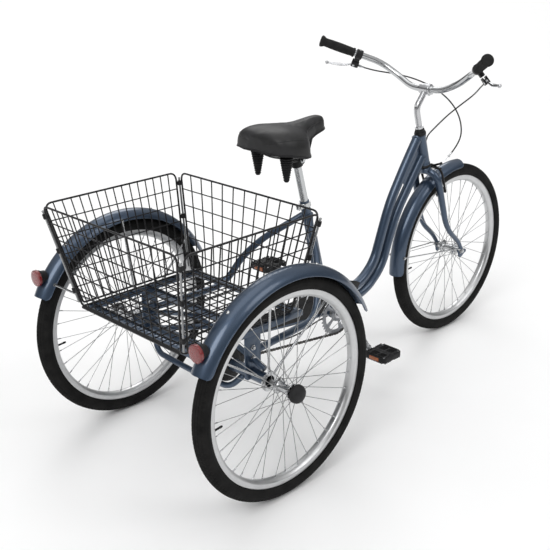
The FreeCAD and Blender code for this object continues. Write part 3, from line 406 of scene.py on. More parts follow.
def lathe(name, profile, centre, direction, mat, segments=64, loop=False, sharp=35.0):
    return lathe_soup(Soup(), profile, centre, direction, segments, loop).piece(name, mat, sharp)


def soft_edge(profile, bevel=0.8):
    """Bevels the corners of a lathe profile."""
    points = []
    count = len(profile)
    for index, (r, h) in enumerate(profile):
        if index in (0, count - 1):
            points.append((r, h))
            continue
        for other in (index - 1, index + 1):
            dr = profile[other][0] - r
            dh = profile[other][1] - h
            run = math.hypot(dr, dh)
            step = min(bevel, 0.4 * run)
            points.append((r + dr / run * step, h + dh / run * step))
    return points


def box_soup(soup, centre, half, axes=(X, Y, Z), bevel=1.0):
    """A box with bevelled edges, along three directions."""
    bm = bmesh.new()
    bmesh.ops.create_cube(bm, size=2.0)
    for vert in bm.verts:
        vert.co = vec(vert.co.x * half[0], vert.co.y * half[1], vert.co.z * half[2])
    bmesh.ops.bevel(bm, geom=bm.edges[:], offset=bevel, segments=2, affect="EDGES", profile=0.5)
    bm.verts.ensure_lookup_table()
    verts = [centre + axes[0] * v.co.x + axes[1] * v.co.y + axes[2] * v.co.z for v in bm.verts]
    faces = [[v.index for v in face.verts] for face in bm.faces]
    bm.free()
    return soup.add(verts, faces)


def hex_soup(soup, centre, direction, flats, height):
    """A hexagonal nut or bolt head with chamfered corners."""
    radius = flats / math.sqrt(3)
    side, up, axis = axes_for(direction)
    verts = []
    for share, level in ((0.0, 0.0), (1.0, 0.0), (1.0, height * 0.8), (0.86, height), (0.0, height)):
        for k in range(6):
            turn = TAU * k / 6
            verts.append(centre + (side * math.cos(turn) + up * math.sin(turn)) * radius * share
                         + axis * level)
    faces = []
    for row in range(4):
        for k in range(6):
            a = row * 6 + k
            b = row * 6 + (k + 1) % 6
            faces.append((a, b, b + 6, a + 6))
    return soup.add(verts, faces)


def sphere_soup(soup, centre, radius, rings=12, segments=20, squash=1.0, axis=Z):
    profile = []
    for i in range(rings + 1):
        turn = math.pi * i / rings
        profile.append((max(radius * math.sin(turn), 1e-6), -radius * squash * math.cos(turn)))
    return lathe_soup(soup, profile, centre, axis, segments)


def place(piece, body, slot, *nodes):
    """Hangs a piece on its body and hides the CAD nodes it stands for; the slot is not used."""
    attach(piece, body)
    if nodes:
        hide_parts(*nodes)
    return piece


def on_wheel(centre, radius, degrees, y=0.0):
    turn = math.radians(degrees)
    return centre + vec(radius * math.cos(turn), y, radius * math.sin(turn))


# ---- wheels ------------------------------------------------------------------------------------

TYRE_RING = 305.0
TYRE_SECTION = 25.0
RIM_TOP = 288.0
RIM_BED = 266.0
TREAD_DEPTH = 1.3


def tread_height(lean, turn_index, steps_per_block):
    """Depth of the tread at an angle across the crown, in one repeat of the pattern."""
    across = abs(lean)
    if across > 62:
        return 0.0
    for groove in (9.0, 27.0, 46.0):
        if abs(across - groove) < 2.6:
            return -TREAD_DEPTH
    shift = 1 if (across > 27) == (lean > 0) else 0
    phase = (turn_index + shift * steps_per_block // 2 + (2 if across > 46 else 0)) % steps_per_block
    return -TREAD_DEPTH * 0.85 if phase < 1 and across > 9 else 0.0


def make_tyre(name, centre, body):
    """Tyre with three pairs of grooves, cross cuts and two raised rings on each wall."""
    blocks, steps = 150, 4
    segments = blocks * steps
    drop = math.degrees(math.acos((TYRE_RING - RIM_TOP) / TYRE_SECTION))
    limit = 180 - drop
    leans = sorted(set([-limit + i * (2 * limit) / 60 for i in range(61)]
                       + [s * g for s in (-1, 1) for g in (
        6.4, 6.5, 11.5, 11.6, 24.4, 24.5, 29.5, 29.6, 43.4, 43.5, 48.5, 48.6, 61.9, 62.1)]))
    verts = []
    for k in range(segments):
        turn = TAU * k / segments
        outward = vec(math.cos(turn), 0, math.sin(turn))
        for lean in leans:
            angle = math.radians(lean)
            ring = 0.55 if 78 < abs(lean) < 81 or 100 < abs(lean) < 103 else 0.0
            size = TYRE_SECTION + tread_height(lean, k, steps) + ring - 0.05
            verts.append(centre + outward * (TYRE_RING + size * math.cos(angle))
                         + Y * (size * math.sin(angle)))
    width = len(leans)
    faces = []
    for k in range(segments):
        for i in range(width - 1):
            a = k * width + i
            d = ((k + 1) % segments) * width + i
            faces.append((a, a + 1, d + 1, d))
    piece = make_object(name + "_tread_tyre", verts, faces, RUBBER, True, 28.0)
    place(piece, body, "tyre_rubber", name + "_tyre")


def make_rim(name, centre, body):
    """Box rim with a brake track, eyelet bed and a valve."""
    top, low, half = RIM_TOP + 1.2, RIM_BED, 16.0
    profile = soft_edge([(top - 4, -half + 3), (top, -half + 1.8), (top, -half), (top - 8, -half - 0.2),
                         (low + 8, -half + 0.4),
                         (low + 1.5, -9), (low, -5), (low, 5), (low + 1.5, 9), (low + 8, half - 0.4),
                         (top - 8, half + 0.2),
                         (top, half), (top, half - 1.8), (top - 4, half - 3)], 0.7)
    profile.append(profile[0])
    piece = lathe(name + "_box_rim", profile[:-1], centre, Y, RIM_ALLOY, 180, loop=True)
    place(piece, body, "rim_alloy", name + "_rim")
    soup = Soup()
    stem = on_wheel(centre, 0, 0)
    outward = vec(math.cos(math.radians(185)), 0, math.sin(math.radians(185)))
    lathe_soup(soup,
               [(1e-6, 0), (2.4, 0.5), (2.6, 3), (3.4, 3.4), (3.4, 9), (2.9, 9.4), (2.9, 32), (1e-6, 32)],
               stem + outward * (low - 31), outward, 16)
    place(soup.piece(name + "_valve", BLACK_PLASTIC), body, "tyre_rubber")


SPOKE_COUNT = 36


def make_spokes(name, centre, body):
    """Three-cross spokes with elbows at the flanges and nipples at the rim."""
    soup = Soup()
    nipples = Soup()
    step = 360 / SPOKE_COUNT
    for index in range(SPOKE_COUNT):
        side = 1 if index % 2 else -1
        lead = 1 if (index // 2) % 2 else -1
        rim_turn = index * step
        hub_turn = rim_turn + lead * 58
        hub_y = side * (27 + 2.3 * lead)
        start = on_wheel(centre, 19, hub_turn, hub_y)
        end = on_wheel(centre, RIM_BED, rim_turn, side * 3)
        run = (end - start).normalized()
        elbow = start - Y * (side * lead * 3.2)
        tube_soup(soup,
                  [elbow, start - Y * (side * lead * 0.9), start + run * 0.9, start + run * 6,
                   end - run * 9], 0.98, 8)
        sphere_soup(soup, elbow, 1.9, 5, 8, 0.6, Y)
        lathe_soup(nipples, [(1.0, -1), (1.9, -0.5), (1.9, 9), (2.6, 10), (2.6, 12.4), (1e-6, 13)],
                   end - run * 12, run, 10)
    place(soup.piece(name + "_laced_spokes", SPOKE_STEEL), body, "steel_wire", name + "_spokes")
    place(nipples.piece(name + "_nipples", CHROME), body, "steel_wire")


def hub_profile(half, bore):
    return soft_edge([(bore, -half), (11, -half), (12.6, -34), (13, -28.9), (23, -28.7), (23.6, -27),
                      (23, -25.3), (15.5, -24.5),
                      (12.4, -18), (11.6, 0), (12.4, 18), (15.5, 24.5), (23, 25.3), (23.6, 27), (23, 28.7),
                      (13, 28.9),
                      (12.6, 34), (11, half), (bore, half)], 0.6)


def make_hub(name, centre, body, half, bore, along=Y):
    piece = lathe(name + "_flanged_hub", hub_profile(half, bore), centre, along, CHROME, 72)
    place(piece, body, "bright_steel", name + "_hub")


def make_wheels():
    for name, centre in (("front", FRONT), ("right", RIGHT_WHEEL), ("left", LEFT_WHEEL)):
        body = name + "_wheel"
        make_tyre(name, centre, body)
        make_rim(name, centre, body)
        make_spokes(name, centre, body)
    make_hub("front", FRONT, "front_wheel", 46, 5.05)
    make_hub("right", RIGHT_WHEEL, "right_wheel", 36, 8.5)
    make_hub("left", LEFT_WHEEL, "left_wheel", 36, 8.5)


def make_rear_axles():
    """Ground axle halves, the drum on the driven one, and a domed cap on each end."""
    for name, side, centre in (("right", RIGHT, RIGHT_WHEEL), ("left", LEFT, LEFT_WHEEL)):
        soup = Soup()
        inner = REAR + Y * (side * 2)
        lathe_soup(soup, soft_edge([(1e-6, 0), (8.5, 0), (8.5, TRACK + 30), (1e-6, TRACK + 30)], 0.8),
                   inner, Y * side, 40)
        node = "drive_axle" if side == RIGHT else "left_axle"
        body = name + "_wheel"
        place(soup.piece(name + "_axle_shaft", GROUND_STEEL), body, "bearing_steel", node)
        cap = [(1e-6, 0), (13, 0), (14, 1), (14, 4), (26, 5), (27, 6.4), (27, 12), (26.2, 17), (23, 22.5),
               (17.5, 26), (9, 27.8), (1e-6, 28.3)]
        place(lathe(name + "_axle_dome", cap, centre + Y * (side * 33.5), Y * side, BLACK_PLASTIC, 48),
              body, "black_plastic")
    drum = soft_edge([(8.5, -14), (47.8, -14), (47.8, 14), (44, 14), (44, -10), (16, -10), (16, 8),
                      (8.5, 8)], 0.8)
    place(lathe("band_drum", drum, REAR + Y * -112, Y, GROUND_STEEL, 64), "right_wheel", "bearing_steel")


# ---- camera, floor and light ---------------------------------------------------------------------

# The camera in metres and degrees: its lens, where it stands, and its yaw, pitch down and roll.
LENS, SENSOR = 61.62, 36.0
CAMERA_PLACE = (-2.2733, -1.9903, 1.5578)
CAMERA_TURNS = (45.459, 21.150, -0.434)


def make_camera():
    data = bpy.data.cameras.new("view")
    data.lens = LENS
    data.sensor_width = SENSOR
    camera = bpy.data.objects.new("view", data)
    bpy.context.scene.collection.objects.link(camera)
    camera.location = CAMERA_PLACE
    yaw, pitch, roll = (math.radians(angle) for angle in CAMERA_TURNS)
    forward = vec(math.cos(yaw) * math.cos(pitch), math.sin(yaw) * math.cos(pitch), -math.sin(pitch))
    right = forward.cross(Z).normalized()
    up = right.cross(forward)
    right_rolled = right * math.cos(roll) + up * math.sin(roll)
    up_rolled = up * math.cos(roll) - right * math.sin(roll)
    basis = Matrix((right_rolled, up_rolled, -forward)).transposed()
    camera.rotation_mode = "QUATERNION"
    camera.rotation_quaternion = basis.to_quaternion()
    bpy.context.scene.camera = camera


FLOOR_REACH = 60.0
SKY_STRENGTH = 0.62
SKY_LEVELS = ((0.0, 0.16), (0.3, 0.34), (0.62, 1.0))


def add_sun(name, towards, power, width):
    """A wide soft light from a direction; it falls evenly on the whole floor."""
    data = bpy.data.lights.new(name, "SUN")
    data.energy = power
    data.angle = math.radians(width)
    light = bpy.data.objects.new(name, data)
    bpy.context.scene.collection.objects.link(light)
    light.rotation_mode = "QUATERNION"
    light.rotation_quaternion = (-Vector(towards)).to_track_quat("-Z", "Y")


def make_studio():
    """Pale floor, a sky brighter overhead and four wide soft lights."""
    mesh = bpy.data.meshes.new("floor")
    mesh.from_pydata([(-FLOOR_REACH, -FLOOR_REACH, 0), (FLOOR_REACH, -FLOOR_REACH, 0),
                      (FLOOR_REACH, FLOOR_REACH, 0), (-FLOOR_REACH, FLOOR_REACH, 0)], [], [(0, 1, 2, 3)])
    floor = bpy.data.objects.new("floor", mesh)
    bpy.context.scene.collection.objects.link(floor)
    mat, tree, shader = new_material("pale_floor", (0.93, 0.93, 0.93), 0.0, 0.6)
    mottle = add_texture(tree, "ShaderNodeTexNoise", 3.0, 3.0)
    add_ramp(tree, mottle, [(0.3, grey(0.925)), (0.7, grey(0.935))], shader.inputs["Base Color"])
    mesh.materials.append(mat)
    world = bpy.data.worlds.new("sky")
    bpy.context.scene.world = world
    world.use_nodes = True
    sky = world.node_tree
    background = sky.nodes["Background"]
    coords = sky.nodes.new("ShaderNodeTexCoord")
    split = sky.nodes.new("ShaderNodeSeparateXYZ")
    ramp = sky.nodes.new("ShaderNodeValToRGB")
    sky.links.new(coords.outputs["Generated"], split.inputs["Vector"])
    sky.links.new(split.outputs["Z"], ramp.inputs["Fac"])
    ramp.color_ramp.elements.new(0.5)
    for element, (spot, level) in zip(ramp.color_ramp.elements, SKY_LEVELS):
        element.position = spot
        element.color = (level, level, level, 1)
    sky.links.new(ramp.outputs["Color"], background.inputs["Color"])
    background.inputs["Strength"].default_value = SKY_STRENGTH
    add_sun("key", (-0.75, -0.25, 0.75), 1.15, 34)
    add_sun("side", (0.35, -0.9, 0.8), 0.5, 30)
    add_sun("rim", (0.6, 0.75, 0.7), 0.45, 30)
    add_sun("top", (0.0, 0.1, 1.0), 0.55, 50)
    bpy.context.scene.view_settings.view_transform = "Standard"


# ---- shared fittings -----------------------------------------------------------------------------

def weld(soup, centre, direction, radius, bead=2.4):
    """A weld bead round a tube, with a rippled edge."""
    side, up = axes_for(direction)[:2]
    path = []
    sizes = []
    for k in range(72):
        turn = TAU * k / 72
        path.append(centre + (side * math.cos(turn) + up * math.sin(turn)) * radius)
        sizes.append(bead * (1 + 0.13 * math.sin(k * TAU / 4)))
    return tube_soup(soup, path, sizes, 8, closed=True)


def bolt(soup, centre, direction, flats=8.0, height=4.0, washer=True):
    """A hexagon bolt head standing on a washer."""
    axis = Vector(direction).normalized()
    start = centre
    if washer:
        wide = flats * 0.8
        lathe_soup(soup, soft_edge([(1e-6, 0), (wide, 0), (wide, 1.0), (1e-6, 1.0)], 0.25), centre, axis,
                   28)
        start = centre + axis * 0.9
    return hex_soup(soup, start, axis, flats, height)


def dome(soup, centre, direction, radius, height):
    """A domed bolt head."""
    profile = [(radius, 0)]
    for k in range(1, 9):
        turn = math.pi / 2 * k / 8
        profile.append((max(radius * math.cos(turn), 1e-6), height * math.sin(turn)))
    return lathe_soup(soup, profile, centre, direction, 28)


def cut_plate(outlines, thickness, bevel=0.5):
    """A flat plate from an outline and holes, as vertices and faces about the XY plane."""
    curve = bpy.data.curves.new("cut_plate", "CURVE")
    curve.dimensions = "2D"
    curve.fill_mode = "BOTH"
    curve.extrude = thickness / 2 - bevel
    curve.bevel_depth = bevel
    curve.offset = -bevel
    curve.bevel_resolution = 1
    for outline in outlines:
        spline = curve.splines.new("POLY")
        spline.points.add(len(outline) - 1)
        for point, (a, b) in zip(spline.points, outline):
            point.co = (a, b, 0, 1)
        spline.use_cyclic_u = True
    holder = bpy.data.objects.new("cut_plate", curve)
    mesh = bpy.data.meshes.new_from_object(holder)
    bm = bmesh.new()
    bm.from_mesh(mesh)
    bmesh.ops.remove_doubles(bm, verts=bm.verts[:], dist=0.01)
    bm.verts.index_update()
    verts = [v.co.copy() for v in bm.verts]
    faces = [[v.index for v in f.verts] for f in bm.faces]
    bm.free()
    bpy.data.objects.remove(holder)
    bpy.data.curves.remove(curve)
    bpy.data.meshes.remove(mesh)
    return verts, faces


def lay(soup, plate, centre, along, across):
    """Puts a cut plate in space with its sides along two directions."""
    along = Vector(along).normalized()
    across = Vector(across).normalized()
    normal = along.cross(across)
    verts, faces = plate
    return soup.add([centre + along * v.x + across * v.y + normal * v.z for v in verts], faces)


def ring_points(radius, count, at=(0.0, 0.0), start=0.0):
    return [(at[0] + radius * math.cos(start + TAU * k / count),
             at[1] + radius * math.sin(start + TAU * k / count))
            for k in range(count)]


def slot_points(inner, outer, first, last, corner=3.0, steps=14):
    """A kidney-shaped opening between two radii and two angles, with eased corners."""
    points = []
    ease_in = math.degrees(corner / inner)
    ease_out = math.degrees(corner / outer)
    for k in range(steps + 1):
        turn = math.radians(first + ease_in + (last - first - 2 * ease_in) * k / steps)
        points.append((inner * math.cos(turn), inner * math.sin(turn)))
    for share, lift in ((0.3, 0.12), (0.06, 0.35)):
        turn = math.radians(last - ease_in * share)
        reach = inner + corner * 2.4 * lift
        points.append((reach * math.cos(turn), reach * math.sin(turn)))
    for share, lift in ((0.06, 0.35), (0.3, 0.12)):
        turn = math.radians(last - ease_out * share)
        reach = outer - corner * 2.4 * lift
        points.append((reach * math.cos(turn), reach * math.sin(turn)))
    for k in range(steps + 1):
        turn = math.radians(last - ease_out - (last - first - 2 * ease_out) * k / steps)
        points.append((outer * math.cos(turn), outer * math.sin(turn)))
    for share, lift in ((0.3, 0.12), (0.06, 0.35)):
        turn = math.radians(first + ease_out * share)
        reach = outer - corner * 2.4 * lift
        points.append((reach * math.cos(turn), reach * math.sin(turn)))
    for share, lift in ((0.06, 0.35), (0.3, 0.12)):
        turn = math.radians(first + ease_in * share)
        reach = inner + corner * 2.4 * lift
        points.append((reach * math.cos(turn), reach * math.sin(turn)))
    return points


def along_head(distance):
    return HEAD_LOW + STEER * distance


# ---- fenders ------------------------------------------------------------------------------------

FENDER_STEPS = 16


def make_fender(name, body, centre, crown, half, first, last, steps):
    """Rolled sheet fender: arched section, beaded edges and rounded ends."""
    drop, thick = 26.0, 1.6
    lean = 2 * math.atan2(drop, half)
    big = half / math.sin(lean)
    soup = Soup()
    verts = []
    rows = []
    for i in range(steps + 1):
        degrees = first + (last - first) * i / steps
        from_end = min(i, steps - i) / steps * math.radians(last - first) * crown
        share = 1.0 if from_end > 22 else 0.72 + 0.28 * math.sqrt(max(0.0, 1 - (1 - from_end / 22) ** 2))
        turn = math.radians(degrees)
        outward = vec(math.cos(turn), 0, math.sin(turn))
        rows.append((outward, share))
    width = 2 * FENDER_STEPS + 1
    for layer in (0.0, -thick):
        for outward, share in rows:
            for k in range(width):
                k_share = (k - FENDER_STEPS) / FENDER_STEPS * share
                angle = lean * k_share
                rr = crown - big + (big + layer) * math.cos(angle)
                yy = (big + layer) * math.sin(angle)
                verts.append(centre + outward * rr + Y * yy)
    faces = []
    block = len(rows) * width

    def at(layer, i, k):
        return layer * block + i * width + k
    for layer in (0, 1):
        for i in range(steps):
            for k in range(width - 1):
                faces.append((at(layer, i, k), at(layer, i, k + 1), at(layer, i + 1, k + 1),
                              at(layer, i + 1, k)))
    for i in range(steps):
        for k in (0, width - 1):
            faces.append((at(0, i, k), at(0, i + 1, k), at(1, i + 1, k), at(1, i, k)))
    for i in (0, steps):
        for k in range(width - 1):
            faces.append((at(0, i, k), at(0, i, k + 1), at(1, i, k + 1), at(1, i, k)))
    soup.add(verts, faces)
    for k, sign in ((0, -1), (width - 1, 1)):
        path = []
        for outward, share in rows:
            angle = lean * sign * share
            path.append(centre + outward * (crown - big + (big - 1.2) * math.cos(angle))
                        + Y * ((big - 1.2) * math.sin(angle)))
        tube_soup(soup, path, 1.9, 8)
    place(soup.piece(name + "_rolled", PAINT, 50), body, "frame_paint", name)


def make_fenders():
    make_fender("right_fender", "frame", RIGHT_WHEEL, 356.0, 36.0, 26.0, 154.0, 150)
    make_fender("left_fender", "frame", LEFT_WHEEL, 356.0, 36.0, 26.0, 154.0, 150)
    make_fender("front_fender", "steering", FRONT, 349.0, 31.0, 86.0, 184.0, 120)


def make_fender_stays():
    """Stay rods, clamp rings, fender bolts and reflector bases."""
    rods = Soup()
    bases = Soup()
    for side in SIDES:
        inner = side * (TRACK - 36.0 - 1.5)
        centre = REAR + Y * (side * TRACK)
        for turn in (93.0, 43.0, 145.0):
            low = on_wheel(REAR, 26.0, turn, side * 302.0)
            top = on_wheel(REAR, 334.0, turn, inner)
            outward = (on_wheel(REAR, 1.0, turn) - REAR).normalized()
            tube_soup(rods,
                      rounded([low, low + outward * 20, top - outward * 14 - Y * (side * 0.5),
                               top + outward * 2], 0.4, 6), 3.5, 14)
            bolt(rods, on_wheel(REAR, 332.0, turn, side * (TRACK - 33.5)), Y * -side, 8.0, 3.5)
            bolt(rods, low - Y * (side * 0.5), Y * side, 7.0, 3.0)
        lathe_soup(rods, soft_edge([(18.05, -2), (30, -2), (30, 2), (18.05, 2)], 0.5),
                   REAR + Y * (side * 302.0), Y, 48)
        at = on_wheel(centre, 356.0, 143.0)
        lathe_soup(bases,
                   soft_edge([(1e-6, -24.2), (20, -24.2), (22, -21), (22, -16), (18.5, -12), (17, 2),
                              (1e-6, 2)], 0.8), at, X, 48)
        for turn in (125.0, 70.0):
            start = on_wheel(centre, 356.0, turn)
            dome(rods, start, (start - centre), 5.4, 3.4)
    place(rods.piece("fender_stay_rods", CHROME), "frame", "bright_steel", "fender_stays")
    place(bases.piece("reflector_bases", BLACK_PLASTIC), "frame", "black_plastic")
    lenses = Soup()
    rims = Soup()
    for side in SIDES:
        at = on_wheel(REAR + Y * (side * TRACK), 356.0, 143.0)
        lathe_soup(lenses,
                   [(1e-6, 24.2), (23.4, 24.2), (23.4, 30.5), (22.4, 32.2), (19, 33.0), (10, 33.4),
                    (1e-6, 33.5)], at, -X, 56)
        lathe_soup(rims, soft_edge([(23.3, 23.0), (25.0, 23.0), (25.0, 31.4), (23.3, 31.4)], 0.5), at, -X,
                   56, loop=True)
    place(lenses.piece("rear_reflector_lenses", RED_LENS), "frame", "red_lens", "rear_reflectors")
    place(rims.piece("rear_reflector_rims", RED_LENS), "frame", "red_lens")


# ---- frame tubes ----------------------------------------------------------------------------------

UPPER_TUBE = [vec(401, 0, 803), vec(335, 0, 712), vec(255, 0, 590), vec(212, 0, 480), vec(178, 0, 390),
              vec(100, 0, 330), vec(-60, 0, 322)]
LOWER_TUBE = [vec(437, 0, 735), vec(372, 0, 650), vec(302, 0, 560), vec(258, 0, 465), vec(222, 0, 365),
              vec(130, 0, 292), vec(-50, 0, 285)]


def make_front_frame():
    place(tube("upper_tube_bent", rounded(UPPER_TUBE, 0.45, 16), 17.0, PAINT, 36), "frame", "frame_paint",
          "upper_main_tube")
    place(tube("lower_tube_bent", rounded(LOWER_TUBE, 0.45, 16), 17.0, PAINT, 36), "frame", "frame_paint",
          "lower_main_tube")
    head = soft_edge([(17.6, 14), (20.6, 14), (20.6, 19), (19, 21.5), (19, 124), (20.6, 127), (20.6, 132),
                      (17.6, 132)], 0.7)
    place(lathe("head_tube_sleeve", head, HEAD_LOW, STEER, PAINT, 56), "frame", "frame_paint", "head_tube")
    beads = Soup()
    weld(beads, vec(401, 0, 803) - vec(66, 0, 91).normalized() * 6, vec(66, 0, 91), 17.0, 2.6)
    weld(beads, vec(437, 0, 735) - vec(65, 0, 85).normalized() * 8, vec(65, 0, 85), 17.0, 2.6)
    weld(beads, CRANK + SEAT * 21, SEAT, 19.0, 2.6)
    weld(beads, CRANK + SEAT * 285, SEAT, 16.4, 3.0)
    place(beads.piece("frame_weld_beads", PAINT), "frame", "frame_paint")
    web = [(x, z) for x,
           z in ((396, 788), (372, 752), (352, 724), (330, 694), (322, 676), (338, 628), (362, 656),
                 (390, 690), (418, 726), (414, 752))]
    soup = Soup()
    lay(soup, cut_plate([web], 5.0, 1.0), vec(0, 0, 0), X, Z)
    place(soup.piece("head_gusset", PAINT), "frame", "frame_paint")
    shell = soft_edge([(17.5, -34), (20, -34), (20.6, -33), (20.6, -29), (20, -28), (20, 28), (20.6, 29),
                       (20.6, 33), (20, 34), (17.5, 34)], 0.5)
    place(lathe("crank_shell", shell, CRANK, Y, PAINT, 48), "frame", "frame_paint", "bottom_bracket_shell")
    bearing = Soup()
    for side in SIDES:
        centre = CRANK + Y * (side * 24)
        lathe_soup(bearing,
                   soft_edge([(8.6, 0), (17.4, 0), (17.4, 11), (15, 12.5), (10.5, 12.5), (8.6, 11)], 0.6),
                   centre, Y * side, 40)
        for k in range(16):
            turn = TAU * k / 16
            box_soup(bearing,
                     centre + Y * (side * 11.6) + X * (16.2 * math.cos(turn)) + Z * (16.2 * math.sin(turn)),
                     (1.0, 1.6, 1.0), bevel=0.3)
    place(bearing.piece("crank_bearing_cups", GROUND_STEEL), "frame", "bearing_steel",
          "bottom_bracket_bearings")
    seat = soft_edge([(12.9, 20), (19, 20), (19, 283), (18.4, 286), (15.9, 289), (15.9, 425), (12.9, 425)],
                     0.8)
    place(lathe("seat_mast", seat, CRANK, SEAT, PAINT, 48), "frame", "frame_paint", "seat_tube")
    clamp = Soup()
    across = SEAT.cross(Y).normalized()
    lathe_soup(clamp, soft_edge([(15.95, -20), (19.4, -20), (19.4, -4), (15.95, -4)], 0.8), MAST_TOP, SEAT,
               48)
    ear_at = MAST_TOP - SEAT * 12 + across * 25
    for side in SIDES:
        box_soup(clamp, ear_at + Y * (side * 4.6), (9, 2.4, 7.5), (across, Y, SEAT), 0.9)
    lathe_soup(clamp, [(1e-6, -12), (3.0, -12), (3.0, 12), (1e-6, 12)], ear_at, Y, 20)
    bolt(clamp, ear_at + Y * 7, Y, 9.0, 5.0)
    bolt(clamp, ear_at - Y * 7, -Y, 9.0, 5.0)
    place(clamp.piece("seat_clamp_band", CHROME), "frame", "bright_steel", "seat_clamp")
    low = soft_edge([(12.76, 2.2), (16, 2.2), (20.4, 6), (20.4, 14), (12.76, 14)], 0.6)
    high = soft_edge([(12.76, 132), (20.4, 132), (21.4, 134), (21.4, 140), (19.6, 142), (19.6, 145),
                      (12.76, 145)], 0.5)
    cups = Soup()
    lathe_soup(cups, low, HEAD_LOW, STEER, 48)
    lathe_soup(cups, high, HEAD_LOW, STEER, 48)
    place(cups.piece("headset_cup_pair", BLACK_METAL), "frame", "black_metal", "headset_cups")


def make_rear_frame():
    mast_gap = MAST_TOP - SEAT * 52
    stays = Soup()
    for side in SIDES:
        points = [mast_gap + Y * (side * 12), vec(-208, side * 52, 610), vec(-248, side * 118, 560),
                  vec(-298, side * 172, 492),
                  vec(-345, side * 206, 400), vec(-480, side * 214, 394), vec(-612, side * 226, 394)]
        tube_soup(stays, rounded(points, 0.45, 14), 11.0, 28)
    weld(stays, mast_gap, SEAT, 17.0, 3.4)
    place(stays.piece("seat_stay_pair", PAINT), "frame", "frame_paint", "seat_stays")
    soup = Soup()
    for side in SIDES:
        start = CRANK + vec(-18, side * 22, 2)
        points = [start, vec(-240, side * 24, 296), vec(-440, side * 78, 318), vec(-618, side * 198, 328)]
        if side == RIGHT:
            points = [start, vec(-240, -20, 296), vec(-420, -14, 318), vec(-620, -16, 328)]
        tube_soup(soup, rounded(points, 0.45, 12), 9.5, 24)
    for low, high in ((-304.0, -152.0), (-28.0, 36.0), (60.0, 304.0)):
        lathe_soup(soup, soft_edge([(15.02, low), (18, low), (18, high), (15.02, high)], 0.7), REAR, Y, 44)
        for at in (low + 5, high - 5):
            lathe_soup(soup,
                       soft_edge([(17.6, at - 4), (19.0, at - 4), (19.0, at + 4), (17.6, at + 4)], 0.5),
                       REAR, Y, 44, loop=True)
    for side in SIDES:
        outline = [(-30, -8), (-22, -14), (22, -14), (30, -8), (30, 114), (24, 121), (-24, 121), (-30, 114)]
        plate = cut_plate([outline, ring_points(15, 28, (0, 0)), ring_points(7, 20, (0, 82)),
                           ring_points(7, 20, (0, 52))], 5.0, 0.8)
        lay(soup, plate, REAR + Y * (side * 235), X, Z)
        strut = [REAR + vec(0, side * 284, 31), REAR + vec(0, side * 110, 84), REAR + vec(0, side * 0, 104)]
        tube_soup(soup, rounded(strut, 0.45, 12), 8.0, 24)
    hoop = [REAR + vec(-8, -206, -12), REAR + vec(-30, -168, -58), REAR + vec(-34, 0, -62),
            REAR + vec(-30, 168, -58), REAR + vec(-8, 206, -12)]
    tube_soup(soup, rounded(hoop, 0.45, 12), 9.0, 24)
    for side in SIDES:
        box_soup(soup, vec(-650, side * 235, 461), (210, 9, 9), bevel=2.2)
    for x in (-850.0, -640.0, -450.0):
        box_soup(soup, vec(x, 0, 461), (9, 228, 8.8), bevel=2.2)
    weld(soup, REAR + Y * 24, Y, 18.2, 2.2)
    weld(soup, REAR - Y * 24, Y, 18.2, 2.2)
    place(soup.piece("axle_carrier_welded", PAINT), "frame", "frame_paint", "axle_carrier")
    rings = Soup()
    for y in (-298.0, -160.0, 30.0, 298.0):
        lathe_soup(rings, soft_edge([(8.6, 0), (14.9, 0), (14.9, 12), (8.6, 12)], 0.6), REAR + Y * y, Y, 40)
        lathe_soup(rings, soft_edge([(9.6, -0.9), (13.4, -0.9), (13.4, 12.9), (9.6, 12.9)], 0.4),
                   REAR + Y * y, Y, 40)
    place(rings.piece("axle_bearing_rings", GROUND_STEEL), "frame", "bearing_steel", "axle_bearings")
    bolts = Soup()
    for side in SIDES:
        for x, z in ((-637, 412), (-637, 382)):
            bolt(bolts, vec(x, side * 238, z), Y * side, 10.0, 5.0)
        for x in (-850.0, -640.0, -450.0):
            bolt(bolts, vec(x, side * 235, 470.1), Z, 8.0, 2.4, washer=False)
    place(bolts.piece("carrier_bolts", CHROME), "frame", "bright_steel")


def make_band_brake():
    centre = REAR - Y * 140
    soup = Soup()
    cover = [(9.4, 0), (15, -0.2), (20, -2.0), (34, -2.2), (40, 0), (54, 0.2), (56, 1.6), (56, 4.4),
             (53, 4.4), (53, 6), (9.4, 6)]
    lathe_soup(soup, soft_edge(cover, 0.6), centre - Y * 1, Y, 64)
    lathe_soup(soup, soft_edge([(49.6, 4), (54, 4), (54, 43.5), (49.6, 43.5)], 0.7), centre, Y, 64,
               loop=True)
    lathe_soup(soup, soft_edge([(9.4, -12), (15, -12), (15, 0), (9.4, 0)], 0.7), centre, Y, 40)
    for k in range(6):
        turn = TAU * (k + 0.25) / 6
        box_soup(soup, centre + X * (46 * math.cos(turn)) + Z * (46 * math.sin(turn)) - Y * 0.6,
                 (4.0, 1.6, 1.6),
                 (X * math.cos(turn) + Z * math.sin(turn), Y, Z * math.cos(turn) - X * math.sin(turn)), 0.5)
    box_soup(soup, centre + vec(0, 11, 58), (12, 11, 8), bevel=1.4)
    place(soup.piece("band_brake_cover", BLACK_METAL), "frame", "black_metal", "band_brake_housing")
    metal = Soup()
    bolt(metal, centre + vec(0, -0.4, 58), -Y, 9.0, 4.0)
    lathe_soup(metal, soft_edge([(1e-6, 0), (3.4, 0), (3.4, 12), (4.4, 13), (4.4, 19), (1e-6, 19)], 0.4),
               centre + vec(6, 8, 66), X, 20)
    tube_soup(metal, [centre + vec(4, 16, 40), centre + vec(-8, 24, 62), centre + vec(-12, 24, 66)], 2.2,
              12)
    place(metal.piece("band_brake_fittings", CHROME), "frame", "bright_steel")


# ---- drive -------------------------------------------------------------------------------------

PITCH = 12.7


def pitch_radius(teeth):
    return PITCH / (2 * math.sin(math.pi / teeth))


